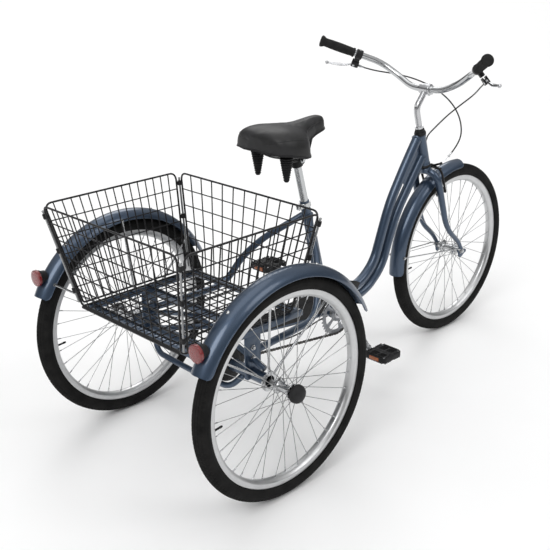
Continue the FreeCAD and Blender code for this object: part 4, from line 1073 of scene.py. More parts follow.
def tooth_outline(teeth):
    """Sprocket outline: round roller seats between pointed teeth."""
    pitch_line = pitch_radius(teeth)
    points = []
    for k in range(teeth):
        base = TAU * k / teeth
        for share, lift in ((-0.5, -3.9), (-0.40, -3.4), (-0.30, -1.6), (-0.22, 0.8), (-0.13, 3.0),
                            (-0.05, 4.4), (0.05, 4.4), (0.13, 3.0), (0.22, 0.8), (0.30, -1.6),
                            (0.40, -3.4)):
            turn = base + share * TAU / teeth
            points.append(((pitch_line + lift) * math.cos(turn), (pitch_line + lift) * math.sin(turn)))
    return points


def make_drive():
    ring = [tooth_outline(36), ring_points(16, 32)]
    for k in range(5):
        ring.append(slot_points(27.0, 57.0, 72 * k + 8, 72 * k + 64, 5.0))
    soup = Soup()
    lay(soup, cut_plate(ring, 3.0, 0.45), CRANK - Y * 52, X, Z)
    lathe_soup(soup, soft_edge([(15.8, -7), (25, -7), (26, -5), (26, 1.6), (15.8, 1.6)], 0.6),
               CRANK - Y * 49.4, Y, 48)
    place(soup.piece("chainring_slotted", RING_STEEL), "crankset", "ring_steel", "chainring")
    cog = Soup()
    cog_plate = [tooth_outline(20), ring_points(8.6, 28)]
    lay(cog, cut_plate(cog_plate, 3.0, 0.45), REAR - Y * 52, X, Z)
    lathe_soup(cog, soft_edge([(8.56, -14), (22, -14), (24, -12), (24, 0), (8.56, 0)], 0.6), REAR - Y * 52,
               Y, 48)
    for k in range(8):
        turn = TAU * k / 8
        box_soup(cog, REAR + vec(24 * math.cos(turn), -60, 24 * math.sin(turn)), (1.4, 5, 3.0),
                 (vec(math.cos(turn), 0, math.sin(turn)), Y, vec(-math.sin(turn), 0, math.cos(turn))), 0.5)
    place(cog.piece("axle_cog", RING_STEEL), "sprocket", "ring_steel", "axle_sprocket")


def make_chain():
    """Roller chain laid link by link round both sprockets."""
    big, small = pitch_radius(36), pitch_radius(20)
    run = CRANK - REAR
    span = run.length
    tilt = math.atan2(run.z, run.x)
    lean = math.asin((big - small) / span)
    straight = math.sqrt(span ** 2 - (big - small) ** 2)
    up = tilt + math.pi / 2 + lean
    over = math.pi + 2 * lean
    under = math.pi - 2 * lean
    lengths = (straight, big * over, straight, small * under)
    total = sum(lengths)
    count = 2 * round(total / PITCH / 2)

    def at(distance):
        distance = distance % total
        rear_top = REAR + vec(small * math.cos(up), 0, small * math.sin(up))
        if distance < lengths[0]:
            heading = tilt + lean
            return rear_top + vec(math.cos(heading), 0, math.sin(heading)) * distance
        distance -= lengths[0]
        if distance < lengths[1]:
            turn = up - distance / big
            return CRANK + vec(big * math.cos(turn), 0, big * math.sin(turn))
        distance -= lengths[1]
        down = up - over
        if distance < lengths[2]:
            heading = tilt - lean + math.pi
            front_low = CRANK + vec(big * math.cos(down), 0, big * math.sin(down))
            return front_low + vec(math.cos(heading), 0, math.sin(heading)) * distance
        distance -= lengths[2]
        turn = down - distance / small
        return REAR + vec(small * math.cos(turn), 0, small * math.sin(turn))
    first = lengths[0] + big * (up - TAU * round(up / TAU * 36) / 36)
    pins = [at(first + k * total / count) - Y * 52 for k in range(count)]
    step = total / count
    waist = []
    for end in (1, -1):
        for k in range(9):
            turn = math.radians(-78 + 156 * k / 8)
            waist.append((end * (step / 2 + 3.9 * math.cos(turn)), end * 3.9 * math.sin(turn)))
        waist.append((end * 0.6, end * 2.7))
        waist.append((-end * 0.6, end * 2.7))
    plate = cut_plate([waist], 1.0, 0.2)
    soup = Soup()
    for k in range(count):
        here, ahead = pins[k], pins[(k + 1) % count]
        along = (ahead - here).normalized()
        across = along.cross(Y).normalized()
        middle = (here + ahead) / 2
        gap = 2.0 if k % 2 else 3.15
        for side in SIDES:
            lay(soup, plate, middle + Y * (side * gap), along, across)
        lathe_soup(soup, [(3.85, -1.5), (3.85, 1.5)], here, Y, 14)
        lathe_soup(soup, [(1e-6, -4.0), (1.7, -4.0), (1.7, 4.0), (1e-6, 4.0)], here, Y, 10)
    place(soup.piece("roller_chain", CHAIN_STEEL), "frame", "chain_steel", "drive_chain")


def make_chain_guard():
    top = [(30, 372), (12, 382), (-20, 392), (-90, 397), (-260, 400), (-470, 392), (-497, 388), (-505, 378),
           (-505, 358), (-497, 347), (-470, 342), (-260, 322), (-165, 318), (-146, 326), (-128, 338),
           (-90, 350), (-40, 346), (-16, 340), (0, 330)]
    soup = Soup()
    lay(soup, cut_plate([top], 2.0, 0.5), vec(0, -64, 0), X, Z)
    edge = [vec(x, -62.5, z) for x, z in top]
    for index in range(len(edge)):
        edge[index] = edge[index] + (vec(-220, -62.5, 362) - edge[index]).normalized() * 2.2
    tube_soup(soup, edge, 1.7, 8, closed=True)
    rib = [vec(-30, -65.4, 370), vec(-90, -65.6, 375), vec(-260, -65.6, 374), vec(-460, -65.4, 368)]
    tube_soup(soup, flowing(rib, 10), 2.4, 10, flat=0.6)
    place(soup.piece("chain_guard_pressed", BLACK_PLASTIC), "frame", "black_plastic", "chain_guard")
    metal = Soup()
    for x, z in ((-86, 372), (-440, 366)):
        dome(metal, vec(x, -65.2, z), -Y, 5.0, 2.6)
        tube_soup(metal, [vec(x, -62, z), vec(x, -30, z - 26 if x > -200 else z - 24)], 2.6, 12)
    place(metal.piece("chain_guard_bolts", CHROME), "frame", "bright_steel")


def lower_tip():
    turn = math.radians(-56.0)
    return vec(170 * math.cos(turn), 0, 170 * math.sin(turn))


def make_crankset():
    tip = lower_tip()
    soup = Soup()
    lathe_soup(soup, soft_edge([(1e-6, -103), (8.5, -103), (8.5, 103), (1e-6, 103)], 0.6), CRANK, Y, 40)
    lathe_soup(soup, soft_edge([(8.4, -6), (15.9, -6), (15.9, 6), (8.4, 6)], 0.6), CRANK - Y * 52, Y, 40)
    for side in SIDES:
        reach = tip * -side
        start = CRANK + Y * (side * 112)
        end = start + reach
        along = reach.normalized()
        across = along.cross(Y).normalized()
        outline = []
        steps = 18
        for end_sign in (1, -1):
            for k in range(steps + 1):
                turn = math.radians(-90 + 180 * k / steps)
                radius, at = (12.0, 170.0) if end_sign > 0 else (16.0, 0.0)
                outline.append((at + end_sign * radius * math.cos(turn),
                                end_sign * radius * math.sin(turn)))
            if end_sign > 0:
                outline.extend([(148, 9.6), (90, 10.4), (26, 12.5)])
            else:
                outline.extend([(26, -12.5), (90, -10.4), (148, -9.6)])
        groove = [(32, -3.4), (36, -5.4), (138, -4.0), (141, 0), (138, 4.0), (36, 5.4), (32, 3.4)]
        lay(soup, cut_plate([outline], 12.0, 1.6), start, along, across)
        lay(soup, cut_plate([groove], 0.9, 0.2), start + Y * (side * 6.2), along, across)
        lathe_soup(soup, soft_edge([(1e-6, -8), (16, -8), (16, 8), (12, 8), (11, 6.5), (1e-6, 6.5)], 0.8),
                   start, Y * side, 48)
        lathe_soup(soup, soft_edge([(1e-6, -7), (12, -7), (12, 7), (1e-6, 7)], 0.8), end, Y * side, 40)
        pin_reach = 180.0 - 112.0 + 38.0
        lathe_soup(soup, [(4.0, 7), (4.0, pin_reach), (1e-6, pin_reach)], end, Y * side, 24)
        hex_soup(soup, end + Y * (side * 7), Y * side, 15.0, 5.0)
    place(soup.piece("crank_arm_pair", ALLOY), "crankset", "alloy", "crank_arms")
    caps = Soup()
    for side in SIDES:
        lathe_soup(caps, soft_edge([(1e-6, 6.2), (10.6, 6.2), (10.6, 8.6), (6, 9.8), (1e-6, 10.2)], 0.5),
                   CRANK + Y * (side * 112), Y * side, 36)
    place(caps.piece("crank_dust_caps", BLACK_PLASTIC), "crankset", "black_plastic")


def make_pedals():
    tip = lower_tip()
    for name, side in (("right_pedal", RIGHT), ("left_pedal", LEFT)):
        centre = CRANK + tip * -side + Y * (side * 180)
        soup = Soup()
        half_l, half_w = 49.0, 44.0
        outer = []
        for sx, sy, first in ((1, 1, 0), (-1, 1, 90), (-1, -1, 180), (1, -1, 270)):
            for k in range(9):
                turn = math.radians(first + 90 * k / 8)
                outer.append((sx * (half_l - 15) + 15 * math.cos(turn),
                              sy * (half_w - 15) + 15 * math.sin(turn)))
        holes = []
        for end in (-1, 1):
            for row in (-1, 1):
                cx, cy = end * 24.0, row * 15.5
                hole = []
                for sx, sy, first in ((1, 1, 0), (-1, 1, 90), (-1, -1, 180), (1, -1, 270)):
                    for k in range(5):
                        turn = math.radians(first + 90 * k / 4)
                        hole.append((cx + sx * 9 + 3.5 * math.cos(turn),
                                     cy + sy * 9 + 3.5 * math.sin(turn)))
                holes.append(hole)
        lay(soup, cut_plate([outer] + holes, 18.0, 1.2), centre, X, Y)
        lathe_soup(soup,
                   soft_edge([(4.1, -43.5), (10, -43.5), (11.5, -40), (10.5, -20), (10.5, 20), (11.5, 40),
                              (9, 43.5), (1e-6, 43.6)], 0.7),
                   centre, Y * side, 32)
        for end in (-1, 1):
            for level in (-1, 1):
                for k in range(11):
                    box_soup(soup, centre + vec(end * 42.5, -30 + 6 * k, level * 10.6), (2.6, 1.7, 2.3),
                             bevel=0.6)
                for k in range(4):
                    box_soup(soup, centre + vec(end * (12 + 8.5 * k), 40.6, level * 10.4), (2.2, 1.8, 2.0),
                             bevel=0.5)
                    box_soup(soup, centre + vec(end * (12 + 8.5 * k), -40.6, level * 10.4), (2.2, 1.8, 2.0),
                             bevel=0.5)
        place(soup.piece(name + "_platform", BLACK_PLASTIC), name, "black_plastic", name)
        amber = Soup()
        for end in (-1, 1):
            box_soup(amber, centre + vec(end * 48.6, 0, 0), (1.6, 20, 6.4), bevel=0.8)
        place(amber.piece(name + "_reflectors", AMBER_LENS), name, "red_lens")
        dots = Soup()
        for sx in (-1, 1):
            for sy in (-1, 1):
                dome(dots, centre + vec(sx * 38, sy * 35, 8.9), Z, 2.6, 1.2)
                dome(dots, centre + vec(sx * 38, sy * 35, -8.9), -Z, 2.6, 1.2)
        place(dots.piece(name + "_screws", CHROME), name, "bright_steel")


# ---- steering ------------------------------------------------------------------------------------

EYELET = vec(17, 0, 24)


def make_fork():
    soup = Soup()
    steerer = soft_edge([(11.35, -14), (12.7, -14), (12.7, 158), (11.35, 158)], 0.3)
    lathe_soup(soup, steerer, HEAD_LOW, STEER, 40)
    lathe_soup(soup, soft_edge([(12.6, -16), (21, -16), (19.6, 1.6), (12.6, 1.6)], 1.4), HEAD_LOW, STEER,
               48)
    crown = along_head(-14)
    for side in SIDES:
        points = [crown + Y * (side * 3), crown + Y * (side * 32) - STEER * 4,
                  along_head(-46) + Y * (side * 52),
                  along_head(-250) + Y * (side * 59), FRONT + vec(-26, side * 59, 44),
                  FRONT + vec(-2, side * 57, 10)]
        path = rounded(points, 0.45, 16)
        done = [0.0]
        for a, b in zip(path, path[1:]):
            done.append(done[-1] + (b - a).length)
        radii = [13.0 - 5.6 * max(0.0, d / done[-1] - 0.25) / 0.75 for d in done]
        tube_soup(soup, path, radii, 28)
        turn = math.radians(20)
        along = vec(math.cos(turn), 0, math.sin(turn))
        across = vec(-math.sin(turn), 0, math.cos(turn))
        outline = [(-13, -10), (-8, -13), (4, -13), (11, -8), (20, 4)]
        spot = (EYELET.dot(along), EYELET.dot(across))
        outline.extend(ring_points(7.5, 24, spot)[18:] + ring_points(7.5, 24, spot)[:9])
        outline.extend([(10, 24), (4, 27), (-10, 27), (-15, 20)])
        lay(soup, cut_plate([outline, ring_points(5.1, 24), ring_points(2.5, 18, spot)], 6.0, 0.6),
            FRONT + Y * (side * 53), along, -across)
    place(soup.piece("fork_crowned", PAINT), "steering", "frame_paint", "fork")
    axle = Soup()
    lathe_soup(axle,
               soft_edge([(1e-6, -68), (4.4, -68), (4.9, -66.5), (4.9, 66.5), (4.4, 68), (1e-6, 68)], 0.3),
               FRONT, Y, 28)
    for k in range(8):
        for side in SIDES:
            lathe_soup(axle, [(4.8, 0), (5.15, 0.35), (4.8, 0.7)], FRONT + Y * (side * (64 + k * 0.45)), Y,
                       20)
    for side in SIDES:
        hex_soup(axle, FRONT + Y * (side * 59.2), Y * side, 15.0, 6.5)
        lathe_soup(axle, soft_edge([(5.0, 0), (10.5, 0), (10.5, 1.6), (5.0, 1.6)], 0.3),
                   FRONT + Y * (side * 57), Y * side, 32)
        lathe_soup(axle, soft_edge([(5.0, 0), (8.6, 0), (8.6, 3.2), (5.0, 3.2)], 0.3),
                   FRONT + Y * (side * 46.6), Y * side, 32)
    place(axle.piece("front_axle_bolted", CHROME), "steering", "bright_steel", "front_axle")
    fitting = Soup()
    stay_low = FRONT + vec(-12, 0, 8)
    for side in SIDES:
        top = on_wheel(FRONT, 325.0, 172.0, side * 33.0)
        bolt(fitting, stay_low + Y * (side * 56.4), Y * side, 7.0, 3.4)
        tube_soup(fitting,
                  rounded([stay_low + Y * (side * 57.6), stay_low + vec(-14, side * 57.6, 6),
                           top - vec(0, side * 1, 0) + X * 14, top], 0.4, 8), 2.2, 12)
        bolt(fitting, top + Y * (side * -0.6), Y * side, 7.0, 3.0)
    place(fitting.piece("front_fender_stays", CHROME), "steering", "bright_steel")


def bar_points(side):
    return [BAR_CENTRE, BAR_CENTRE + Y * (side * 62), vec(447, side * 125, 998), vec(425, side * 195, 1044),
            vec(271, side * 350, 1122)]


def make_cockpit():
    elbow = along_head(236)
    soup = Soup()
    tube_soup(soup,
              rounded([along_head(60), along_head(150), elbow,
                       BAR_CENTRE - (BAR_CENTRE - elbow).normalized() * 12], 0.3, 18), 11.0, 32)
    lathe_soup(soup,
               soft_edge([(12.85, -21), (18.0, -21), (19.4, -18), (19.4, 18), (18.0, 21), (12.85, 21)],
                         0.9), BAR_CENTRE, Y, 56)
    for side in SIDES:
        box_soup(soup, BAR_CENTRE + vec(19, side * 7.5, -9), (6.5, 5.5, 12), bevel=1.6)
    lathe_soup(soup, soft_edge([(11.0, 158), (15.5, 158), (15.5, 166), (11.0, 166)], 0.6), HEAD_LOW, STEER,
               40)
    place(soup.piece("quill_stem", ALLOY), "steering", "alloy", "stem")
    bolts = Soup()
    bolt(bolts, BAR_CENTRE + vec(19, 0, 3.6), Z, 9.0, 5.0)
    bolt(bolts, BAR_CENTRE + vec(19, 0, -21.4), -Z, 9.0, 4.0)
    hex_soup(bolts, elbow + STEER * 7, STEER, 10.0, 7.0)
    place(bolts.piece("stem_bolts", CHROME), "steering", "bright_steel")
    nut = Soup()
    hex_soup(nut, along_head(145.2), STEER, 32.0, 8.5)
    lathe_soup(nut, soft_edge([(12.8, 153.6), (16, 153.6), (15, 157.8), (12.8, 157.8)], 0.5), HEAD_LOW,
               STEER, 40)
    place(nut.piece("headset_locknut", BLACK_METAL), "steering", "black_metal")
    left = bar_points(LEFT)[::-1]
    whole = left[:-1] + bar_points(RIGHT)[1:]
    bar = Soup()
    tube_soup(bar, rounded(whole, 0.45, 20), 11.1, 36)
    lathe_soup(bar, soft_edge([(11.0, -30), (12.75, -29), (12.75, 29), (11.0, 30)], 0.4), BAR_CENTRE, Y, 48)
    place(bar.piece("swept_handlebar", CHROME), "steering", "alloy", "handlebar")
    grips = Soup()
    for side in SIDES:
        inner, outer = bar_points(side)[-2:]
        heading = (outer - inner).normalized()
        profile = [(11.15, -128), (15.6, -128), (16.6, -126.5), (16.6, -122), (15.2, -120.5)]
        for k in range(22):
            at = -118 + k * 4.6
            swell = 15.2 + 1.3 * math.sin(math.pi * (k + 1) / 23)
            profile.extend([(swell - 0.7, at), (swell, at + 0.9), (swell, at + 3.0),
                            (swell - 0.7, at + 3.9)])
        profile.extend([(16.0, -14), (18.6, -9), (20.2, -5), (20.4, -2), (19.0, 0.6), (14.5, 2.2), (7, 3.0),
                        (1e-6, 3.2)])
        lathe_soup(grips, profile, outer, heading, 40)
    place(grips.piece("ribbed_grips", GRIP_RUBBER), "steering", "grip_rubber", "grips")


def lever_frame(side):
    inner, outer = bar_points(side)[-2:]
    heading = (outer - inner).normalized()
    clamp = outer - heading * 146.0
    towards = vec(0.36, side * 0.42, -0.83)
    towards = (towards - heading * towards.dot(heading)).normalized()
    return clamp, clamp + towards * 50.0 + heading * 4.0, heading, towards


def make_levers():
    black = Soup()
    bright = Soup()
    for name, side in (("right", RIGHT), ("left", LEFT)):
        clamp, pivot, heading, towards = lever_frame(side)
        across = heading.cross(towards).normalized()
        lathe_soup(black,
                   soft_edge([(11.3, -12), (16, -12), (17.2, -10), (17.2, 10), (16, 12), (11.3, 12)], 0.8),
                   clamp, heading, 44)
        box_soup(black, clamp + towards * 20 - heading * 1, (9.5, 8, 9), (heading, across, towards), 2.4)
        for sign in (-1, 1):
            box_soup(black, pivot + across * (sign * 6.6) - towards * 5 - heading * 4, (12.5, 2.2, 13),
                     (heading, across, towards), 1.8)
        box_soup(black, pivot - heading * 15 - towards * 2, (3.5, 8.6, 9), (heading, across, towards), 1.6)
        lathe_soup(bright,
                   soft_edge([(1e-6, -9.8), (4.6, -9.8), (4.6, -8.6), (2.5, -8.6), (2.5, 8.6), (4.6, 8.6),
                              (4.6, 9.8), (1e-6, 9.8)], 0.3), pivot, across, 24)
        ribs = [(1e-6, -30), (3.6, -30)]
        for k in range(5):
            ribs.extend([(4.7, -29 + k * 2.0), (4.7, -28 + k * 2.0), (4.1, -27.6 + k * 2.0)])
        ribs.extend([(3.2, -18.8), (3.2, -13), (1e-6, -13)])
        lathe_soup(bright, ribs, pivot, heading, 24)
        bolt(bright, clamp - towards * 16.6 - across * 2, -towards, 6.0, 3.0, washer=False)
        tip = pivot + heading * 91 + towards * 36
        path = flowing([pivot + heading * 1, pivot + heading * 28 + towards * 19,
                        pivot + heading * 46 + towards * 24, tip - heading * 26 - towards * 6, tip], 12)
        blade = Soup()
        count = len(path)
        verts = []
        sides = 20
        for index, point in enumerate(path):
            share = index / (count - 1)
            wide = 4.0 if share < 0.08 else 4.0 + 3.2 * math.sin(math.pi * min(1.0,
                                                                               (share - 0.08) / 0.9)) ** 0.7
            wide = min(wide, 3.9 + share * 40)
            thick = 3.4 - 0.9 * share
            ahead = path[min(index + 1, count - 1)] - path[max(index - 1, 0)]
            ahead.normalize()
            lift = across.cross(ahead).normalized()
            for k in range(sides):
                turn = TAU * k / sides
                verts.append(point + across * (wide * math.cos(turn)) + lift * (thick * math.sin(turn)))
        faces = [(i * sides + k, i * sides + (k + 1) % sides, (i + 1) * sides + (k + 1) % sides,
                  (i + 1) * sides + k)
                 for i in range(count - 1) for k in range(sides)]
        faces.append(tuple(range(sides)))
        faces.append(tuple((count - 1) * sides + k for k in range(sides)))
        blade.add(verts, faces)
        lathe_soup(blade, soft_edge([(2.6, -3.9), (8.4, -3.9), (8.4, 3.9), (2.6, 3.9)], 0.6), pivot, across,
                   36)
        sphere_soup(blade, tip, 6.4, 14, 24)
        place(blade.piece(name + "_lever_blade", ALLOY), name + "_lever", "alloy", name + "_brake_lever")
    place(black.piece("lever_bracket_pair", BLACK_METAL), "steering", "black_metal", "brake_lever_brackets")
    place(bright.piece("lever_fittings", CHROME), "steering", "bright_steel")


def make_caliper():
    pivot = along_head(-14) + AHEAD * 33
    for name, side, ahead in (("right", RIGHT, 4.0), ("left", LEFT, -5.0)):
        centre = pivot + AHEAD * ahead
        pad_at = on_wheel(FRONT, 276.0, 114.0, side * 25.0)
        knee = centre + Y * (side * 44) - STEER * 22
        soup = Soup()
        tube_soup(soup,
                  rounded([centre + Y * (side * 2), centre + Y * (side * 30) - STEER * 1, knee,
                           pad_at + vec(0, side * 21, 8)], 0.45, 12), 4.6, 20, flat=0.85)
        lathe_soup(soup, soft_edge([(3.1, -3.5), (9, -3.5), (9, 3.5), (3.1, 3.5)], 0.6), centre, AHEAD, 36)
        tail = centre + Y * (RIGHT * 44) + STEER * (10 + ahead * 2)
        tube_soup(soup, [centre, centre + (tail - centre) * 0.5, tail], [4.4, 4.0, 3.6], 16)
        lathe_soup(soup, soft_edge([(1e-6, -4.6), (4.8, -4.6), (4.8, 4.6), (1e-6, 4.6)], 0.5), tail, AHEAD,
                   24)
        lathe_soup(soup, soft_edge([(1e-6, 4), (3.4, 4), (3.4, 19), (5.4, 19), (5.4, 23), (1e-6, 23)], 0.5),
                   pad_at, vec(0, side * 22, 6), 24)
        place(soup.piece(name + "_caliper_bow", BLACK_METAL), name + "_caliper", "black_metal",
              name + "_caliper_arm")
        pad = Soup()
        turn = math.radians(24)
        along = vec(math.cos(turn), 0, math.sin(turn))
        up = vec(-math.sin(turn), 0, math.cos(turn))
        box_soup(pad, pad_at - Y * (side * 0.3), (24, 4.2, 6), (along, Y, up), 1.4)
        for k in range(7):
            box_soup(pad, pad_at - Y * (side * 4.2) + along * (-18 + 6 * k), (1.8, 0.5, 5.2),
                     (along, Y, up), 0.3)
        place(pad.piece(name + "_brake_shoe", BLACK_PLASTIC), name + "_caliper", "black_plastic")
    metal = Soup()
    lathe_soup(metal, [(3.0, -24), (3.0, 15), (1e-6, 15.5)], pivot, AHEAD, 20)
    hex_soup(metal, pivot + AHEAD * 9, AHEAD, 9.0, 5.0)
    hex_soup(metal, pivot - AHEAD * 15, AHEAD, 9.0, 4.0)
    for side in SIDES:
        tube_soup(metal,
                  flowing([pivot - AHEAD * 11 + Y * (side * 3),
                           pivot - AHEAD * 11 + Y * (side * 20) + STEER * 4,
                                  pivot - AHEAD * 10 + Y * (side * 38) - STEER * 12,
                                  pivot - AHEAD * 8 + Y * (side * 41) - STEER * 24], 8), 1.1, 8)
    place(metal.piece("caliper_bolt_spring", CHROME), "steering", "bright_steel")


def make_cables():
    left_start = lever_frame(LEFT)[1] - lever_frame(LEFT)[2] * 30
    heading = lever_frame(LEFT)[2]
    front = [left_start, left_start - heading * 40, vec(478, 165, 1000), vec(508, 95, 985),
             vec(532, 20, 955), vec(548, -45, 905),
             vec(556, -78, 840), vec(548, -82, 775), vec(520, -60, 730)]
    soup = Soup()
    path = flowing(front, 16)
    tube_soup(soup, path, 2.5, 14)
    place(soup.piece("front_cable_housing", CABLE_BLACK), "steering", "cable_black", "front_brake_cable")
    ends = Soup()
    end = front[-1]
    run = (front[-1] - front[-2]).normalized()
    lathe_soup(ends,
               soft_edge([(2.55, -10), (3.3, -10), (3.3, 3), (4.6, 3.5), (4.6, 9), (3.0, 9.6), (1e-6, 10)],
                         0.3), end, run, 20)
    tube_soup(ends, [end + run * 8, end + run * 26], 1.0, 8)
    lathe_soup(ends, soft_edge([(2.55, -2), (3.2, -2), (3.2, 12), (2.55, 12)], 0.2), front[0], -heading, 20)
    place(ends.piece("front_cable_ferrules", CHROME), "steering", "bright_steel")
    start = lever_frame(RIGHT)[1] - lever_frame(RIGHT)[2] * 30
    heading = lever_frame(RIGHT)[2]
    rear = [start, start - heading * 40, vec(512, -150, 958), vec(512, -92, 912), vec(508, -45, 871),
            vec(496, -8, 828), vec(478, 14, 796),
            vec(481, 19, 775), vec(478, 34, 750), vec(436, 46, 706), vec(368, 42, 644), vec(290, 26, 510),
            vec(256, 24, 420), vec(200, 24, 330),
            vec(120, 24, 262), vec(0, 24, 244), vec(-120, 10, 246), vec(-240, -42, 262),
            vec(-400, -92, 300), vec(-540, -128, 372),
            vec(-600, -129, 396), vec(-622, -129, 400)]
    housing = tube("rear_cable_housing", flowing(rear, 16), 2.5, CABLE_BLACK, 14)
    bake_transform(housing)
    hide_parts("rear_brake_cable_upper", "rear_brake_cable_lower")
    clips = Soup()
    for at, run in ((vec(362, 41, 634), vec(-78, -16, -134)), (vec(256, 24, 420), vec(-90, -2, -180)),
                    (vec(0, 24, 244), vec(-1, 0, 0)), (vec(-240, -40, 262), vec(-280, -90, 54))):
        lathe_soup(clips, soft_edge([(2.55, -4), (4.0, -4), (4.0, 4), (2.55, 4)], 0.4), at, run, 20,
                   loop=True)
    place(clips.piece("rear_cable_guides", BLACK_METAL), "frame", "black_metal")


# ---- saddle --------------------------------------------------------------------------------------

SADDLE_TAIL = -392.0
SADDLE_LENGTH = 288.0
SADDLE_SHAPE = (
    (0.00, 30.0, 896.0, 934.0), (0.02, 74.0, 894.0, 944.0), (0.05, 96.0, 892.0, 951.0),
    (0.12, 111.0, 890.0, 957.0),
    (0.24, 118.5, 883.0, 959.0), (0.38, 116.0, 873.0, 955.0), (0.45, 104.0, 872.0, 953.0),
    (0.54, 72.0, 882.0, 953.0),
    (0.64, 46.0, 896.0, 956.0), (0.78, 33.0, 909.0, 961.0), (0.92, 28.0, 918.0, 963.0),
    (0.97, 21.0, 921.0, 959.0),
    (1.00, 8.0, 926.0, 950.0),
)


def blend_table(table, share):
    """Smooth reading of a table of rows (share, values...) by a cardinal spline."""
    last = len(table) - 1
    index = 0
    while index < last - 1 and share > table[index + 1][0]:
        index += 1
    a, b = table[index], table[index + 1]
    before = table[max(index - 1, 0)]
    after = table[min(index + 2, last)]
    run = b[0] - a[0]
    u = min(1.0, max(0.0, (share - a[0]) / run))
    values = []
    for k in range(1, len(a)):
        slope_a = (b[k] - before[k]) / (b[0] - before[0]) * run
        slope_b = (after[k] - a[k]) / (after[0] - a[0]) * run
        values.append((2 * u ** 3 - 3 * u ** 2 + 1) * a[k] + (u ** 3 - 2 * u ** 2 + u) * slope_a
                      + (3 * u ** 2 - 2 * u ** 3) * b[k] + (u ** 3 - u ** 2) * slope_b)
    return values


def saddle_ring(share, count, inset=0.0):
    """Points over the saddle from its right lower edge to its left one."""
    half, low, top = blend_table(SADDLE_SHAPE, share)
    x = SADDLE_TAIL + share * SADDLE_LENGTH
    points = []
    for k in range(count):
        turn = math.pi * k / (count - 1)
        across, lift = -math.cos(turn), math.sin(turn)
        y = math.copysign(abs(across) ** 0.62, across) * (half - inset)
        z = low + (top - low - inset) * lift ** 0.72
        channel = 3.0 * math.exp(-(y / 9.0) ** 2) * max(0.0, math.sin(math.pi * min(1.0, share / 0.85)))
        points.append(vec(x, y, z - channel))
    return points


CLOTH_FRAMES = 24


def make_cushion():
    """Padded vinyl cover: drawn down along its lower edge and a seam, and blown out by its foam."""
    rings, count = 64, 49
    shares = [0.5 - 0.5 * math.cos(math.pi * (0.02 + 0.96 * i / (rings - 1))) for i in range(rings)]
    verts = []
    for share in shares:
        verts.extend(saddle_ring(share, count, 1.6))
    faces = []
    for i in range(rings - 1):
        for k in range(count - 1):
            a = i * count + k
            faces.append((a, a + 1, a + count + 1, a + count))
    under = len(verts)
    for share in shares:
        low = blend_table(SADDLE_SHAPE, share)[1]
        verts.append(vec(SADDLE_TAIL + share * SADDLE_LENGTH, 0, low + 0.4))
    for i in range(rings - 1):
        right, left = i * count, i * count + count - 1
        faces.append((right, right + count, under + i + 1, under + i))
        faces.append((left, under + i, under + i + 1, left + count))
    for i in (0, rings - 1):
        faces.append(tuple(i * count + k for k in range(count)) + (under + i,))
    cushion = make_object("saddle_padded_cover", verts, faces, VINYL, True, 60)
    pins = cushion.vertex_groups.new(name="drawn_edges")
    seam = (9, count - 10)
    held = [i * count + k for i in range(rings)
            for k in (0, count - 1)] + list(range(under, under + rings))
    held += [k for k in range(count)] + [(rings - 1) * count + k for k in range(count)]
    pins.add(held, 1.0, "REPLACE")
    pins.add([i * count + k for i in range(rings) for k in seam], 0.96, "REPLACE")
    cloth = cushion.modifiers.new("cover", "CLOTH")
    settings = cloth.settings
    settings.quality = 6
    settings.mass = 0.35
    settings.tension_stiffness = 80
    settings.compression_stiffness = 80
    settings.shear_stiffness = 40
    settings.bending_stiffness = 12.0
    settings.vertex_group_mass = "drawn_edges"
    settings.use_pressure = True
    settings.uniform_pressure_force = 14.0
    settings.shrink_min = -0.004
    settings.effector_weights.gravity = 0.0
    cloth.collision_settings.use_collision = False
    cloth.point_cache.frame_start = 1
    cloth.point_cache.frame_end = CLOTH_FRAMES
    scene = bpy.context.scene
    for step in range(1, CLOTH_FRAMES + 1):
        scene.frame_set(step)
    settled = cushion.evaluated_get(bpy.context.evaluated_depsgraph_get())
    baked = bpy.data.meshes.new_from_object(settled)
    cushion.modifiers.clear()
    cushion.data = baked
    scene.frame_set(1)
    bm = bmesh.new()
    bm.from_mesh(cushion.data)
    bmesh.ops.recalc_face_normals(bm, faces=bm.faces)
    bmesh.ops.subdivide_edges(bm, edges=bm.edges[:], cuts=1, smooth=0.6, use_grid_fill=True)
    for face in bm.faces:
        face.smooth = True
    bm.to_mesh(cushion.data)
    bm.free()
    place(cushion, "saddle", "saddle_vinyl", "saddle_cushion")
    trim = Soup()
    edge_right = [saddle_ring(share, count)[0] for share in shares]
    edge_left = [saddle_ring(share, count)[-1] for share in shares]
    tube_soup(trim, edge_right + edge_left[::-1], 2.0, 10, closed=True)
    place(trim.piece("saddle_edge_binding", BLACK_PLASTIC), "saddle", "black_plastic")
    piping = Soup()
    for k in (9, count - 10):
        line = [saddle_ring(share, count, 1.0)[k] for share in shares[3:-3]]
        tube_soup(piping, line, 0.9, 8)
    place(piping.piece("saddle_seam_piping", VINYL), "saddle", "saddle_vinyl")


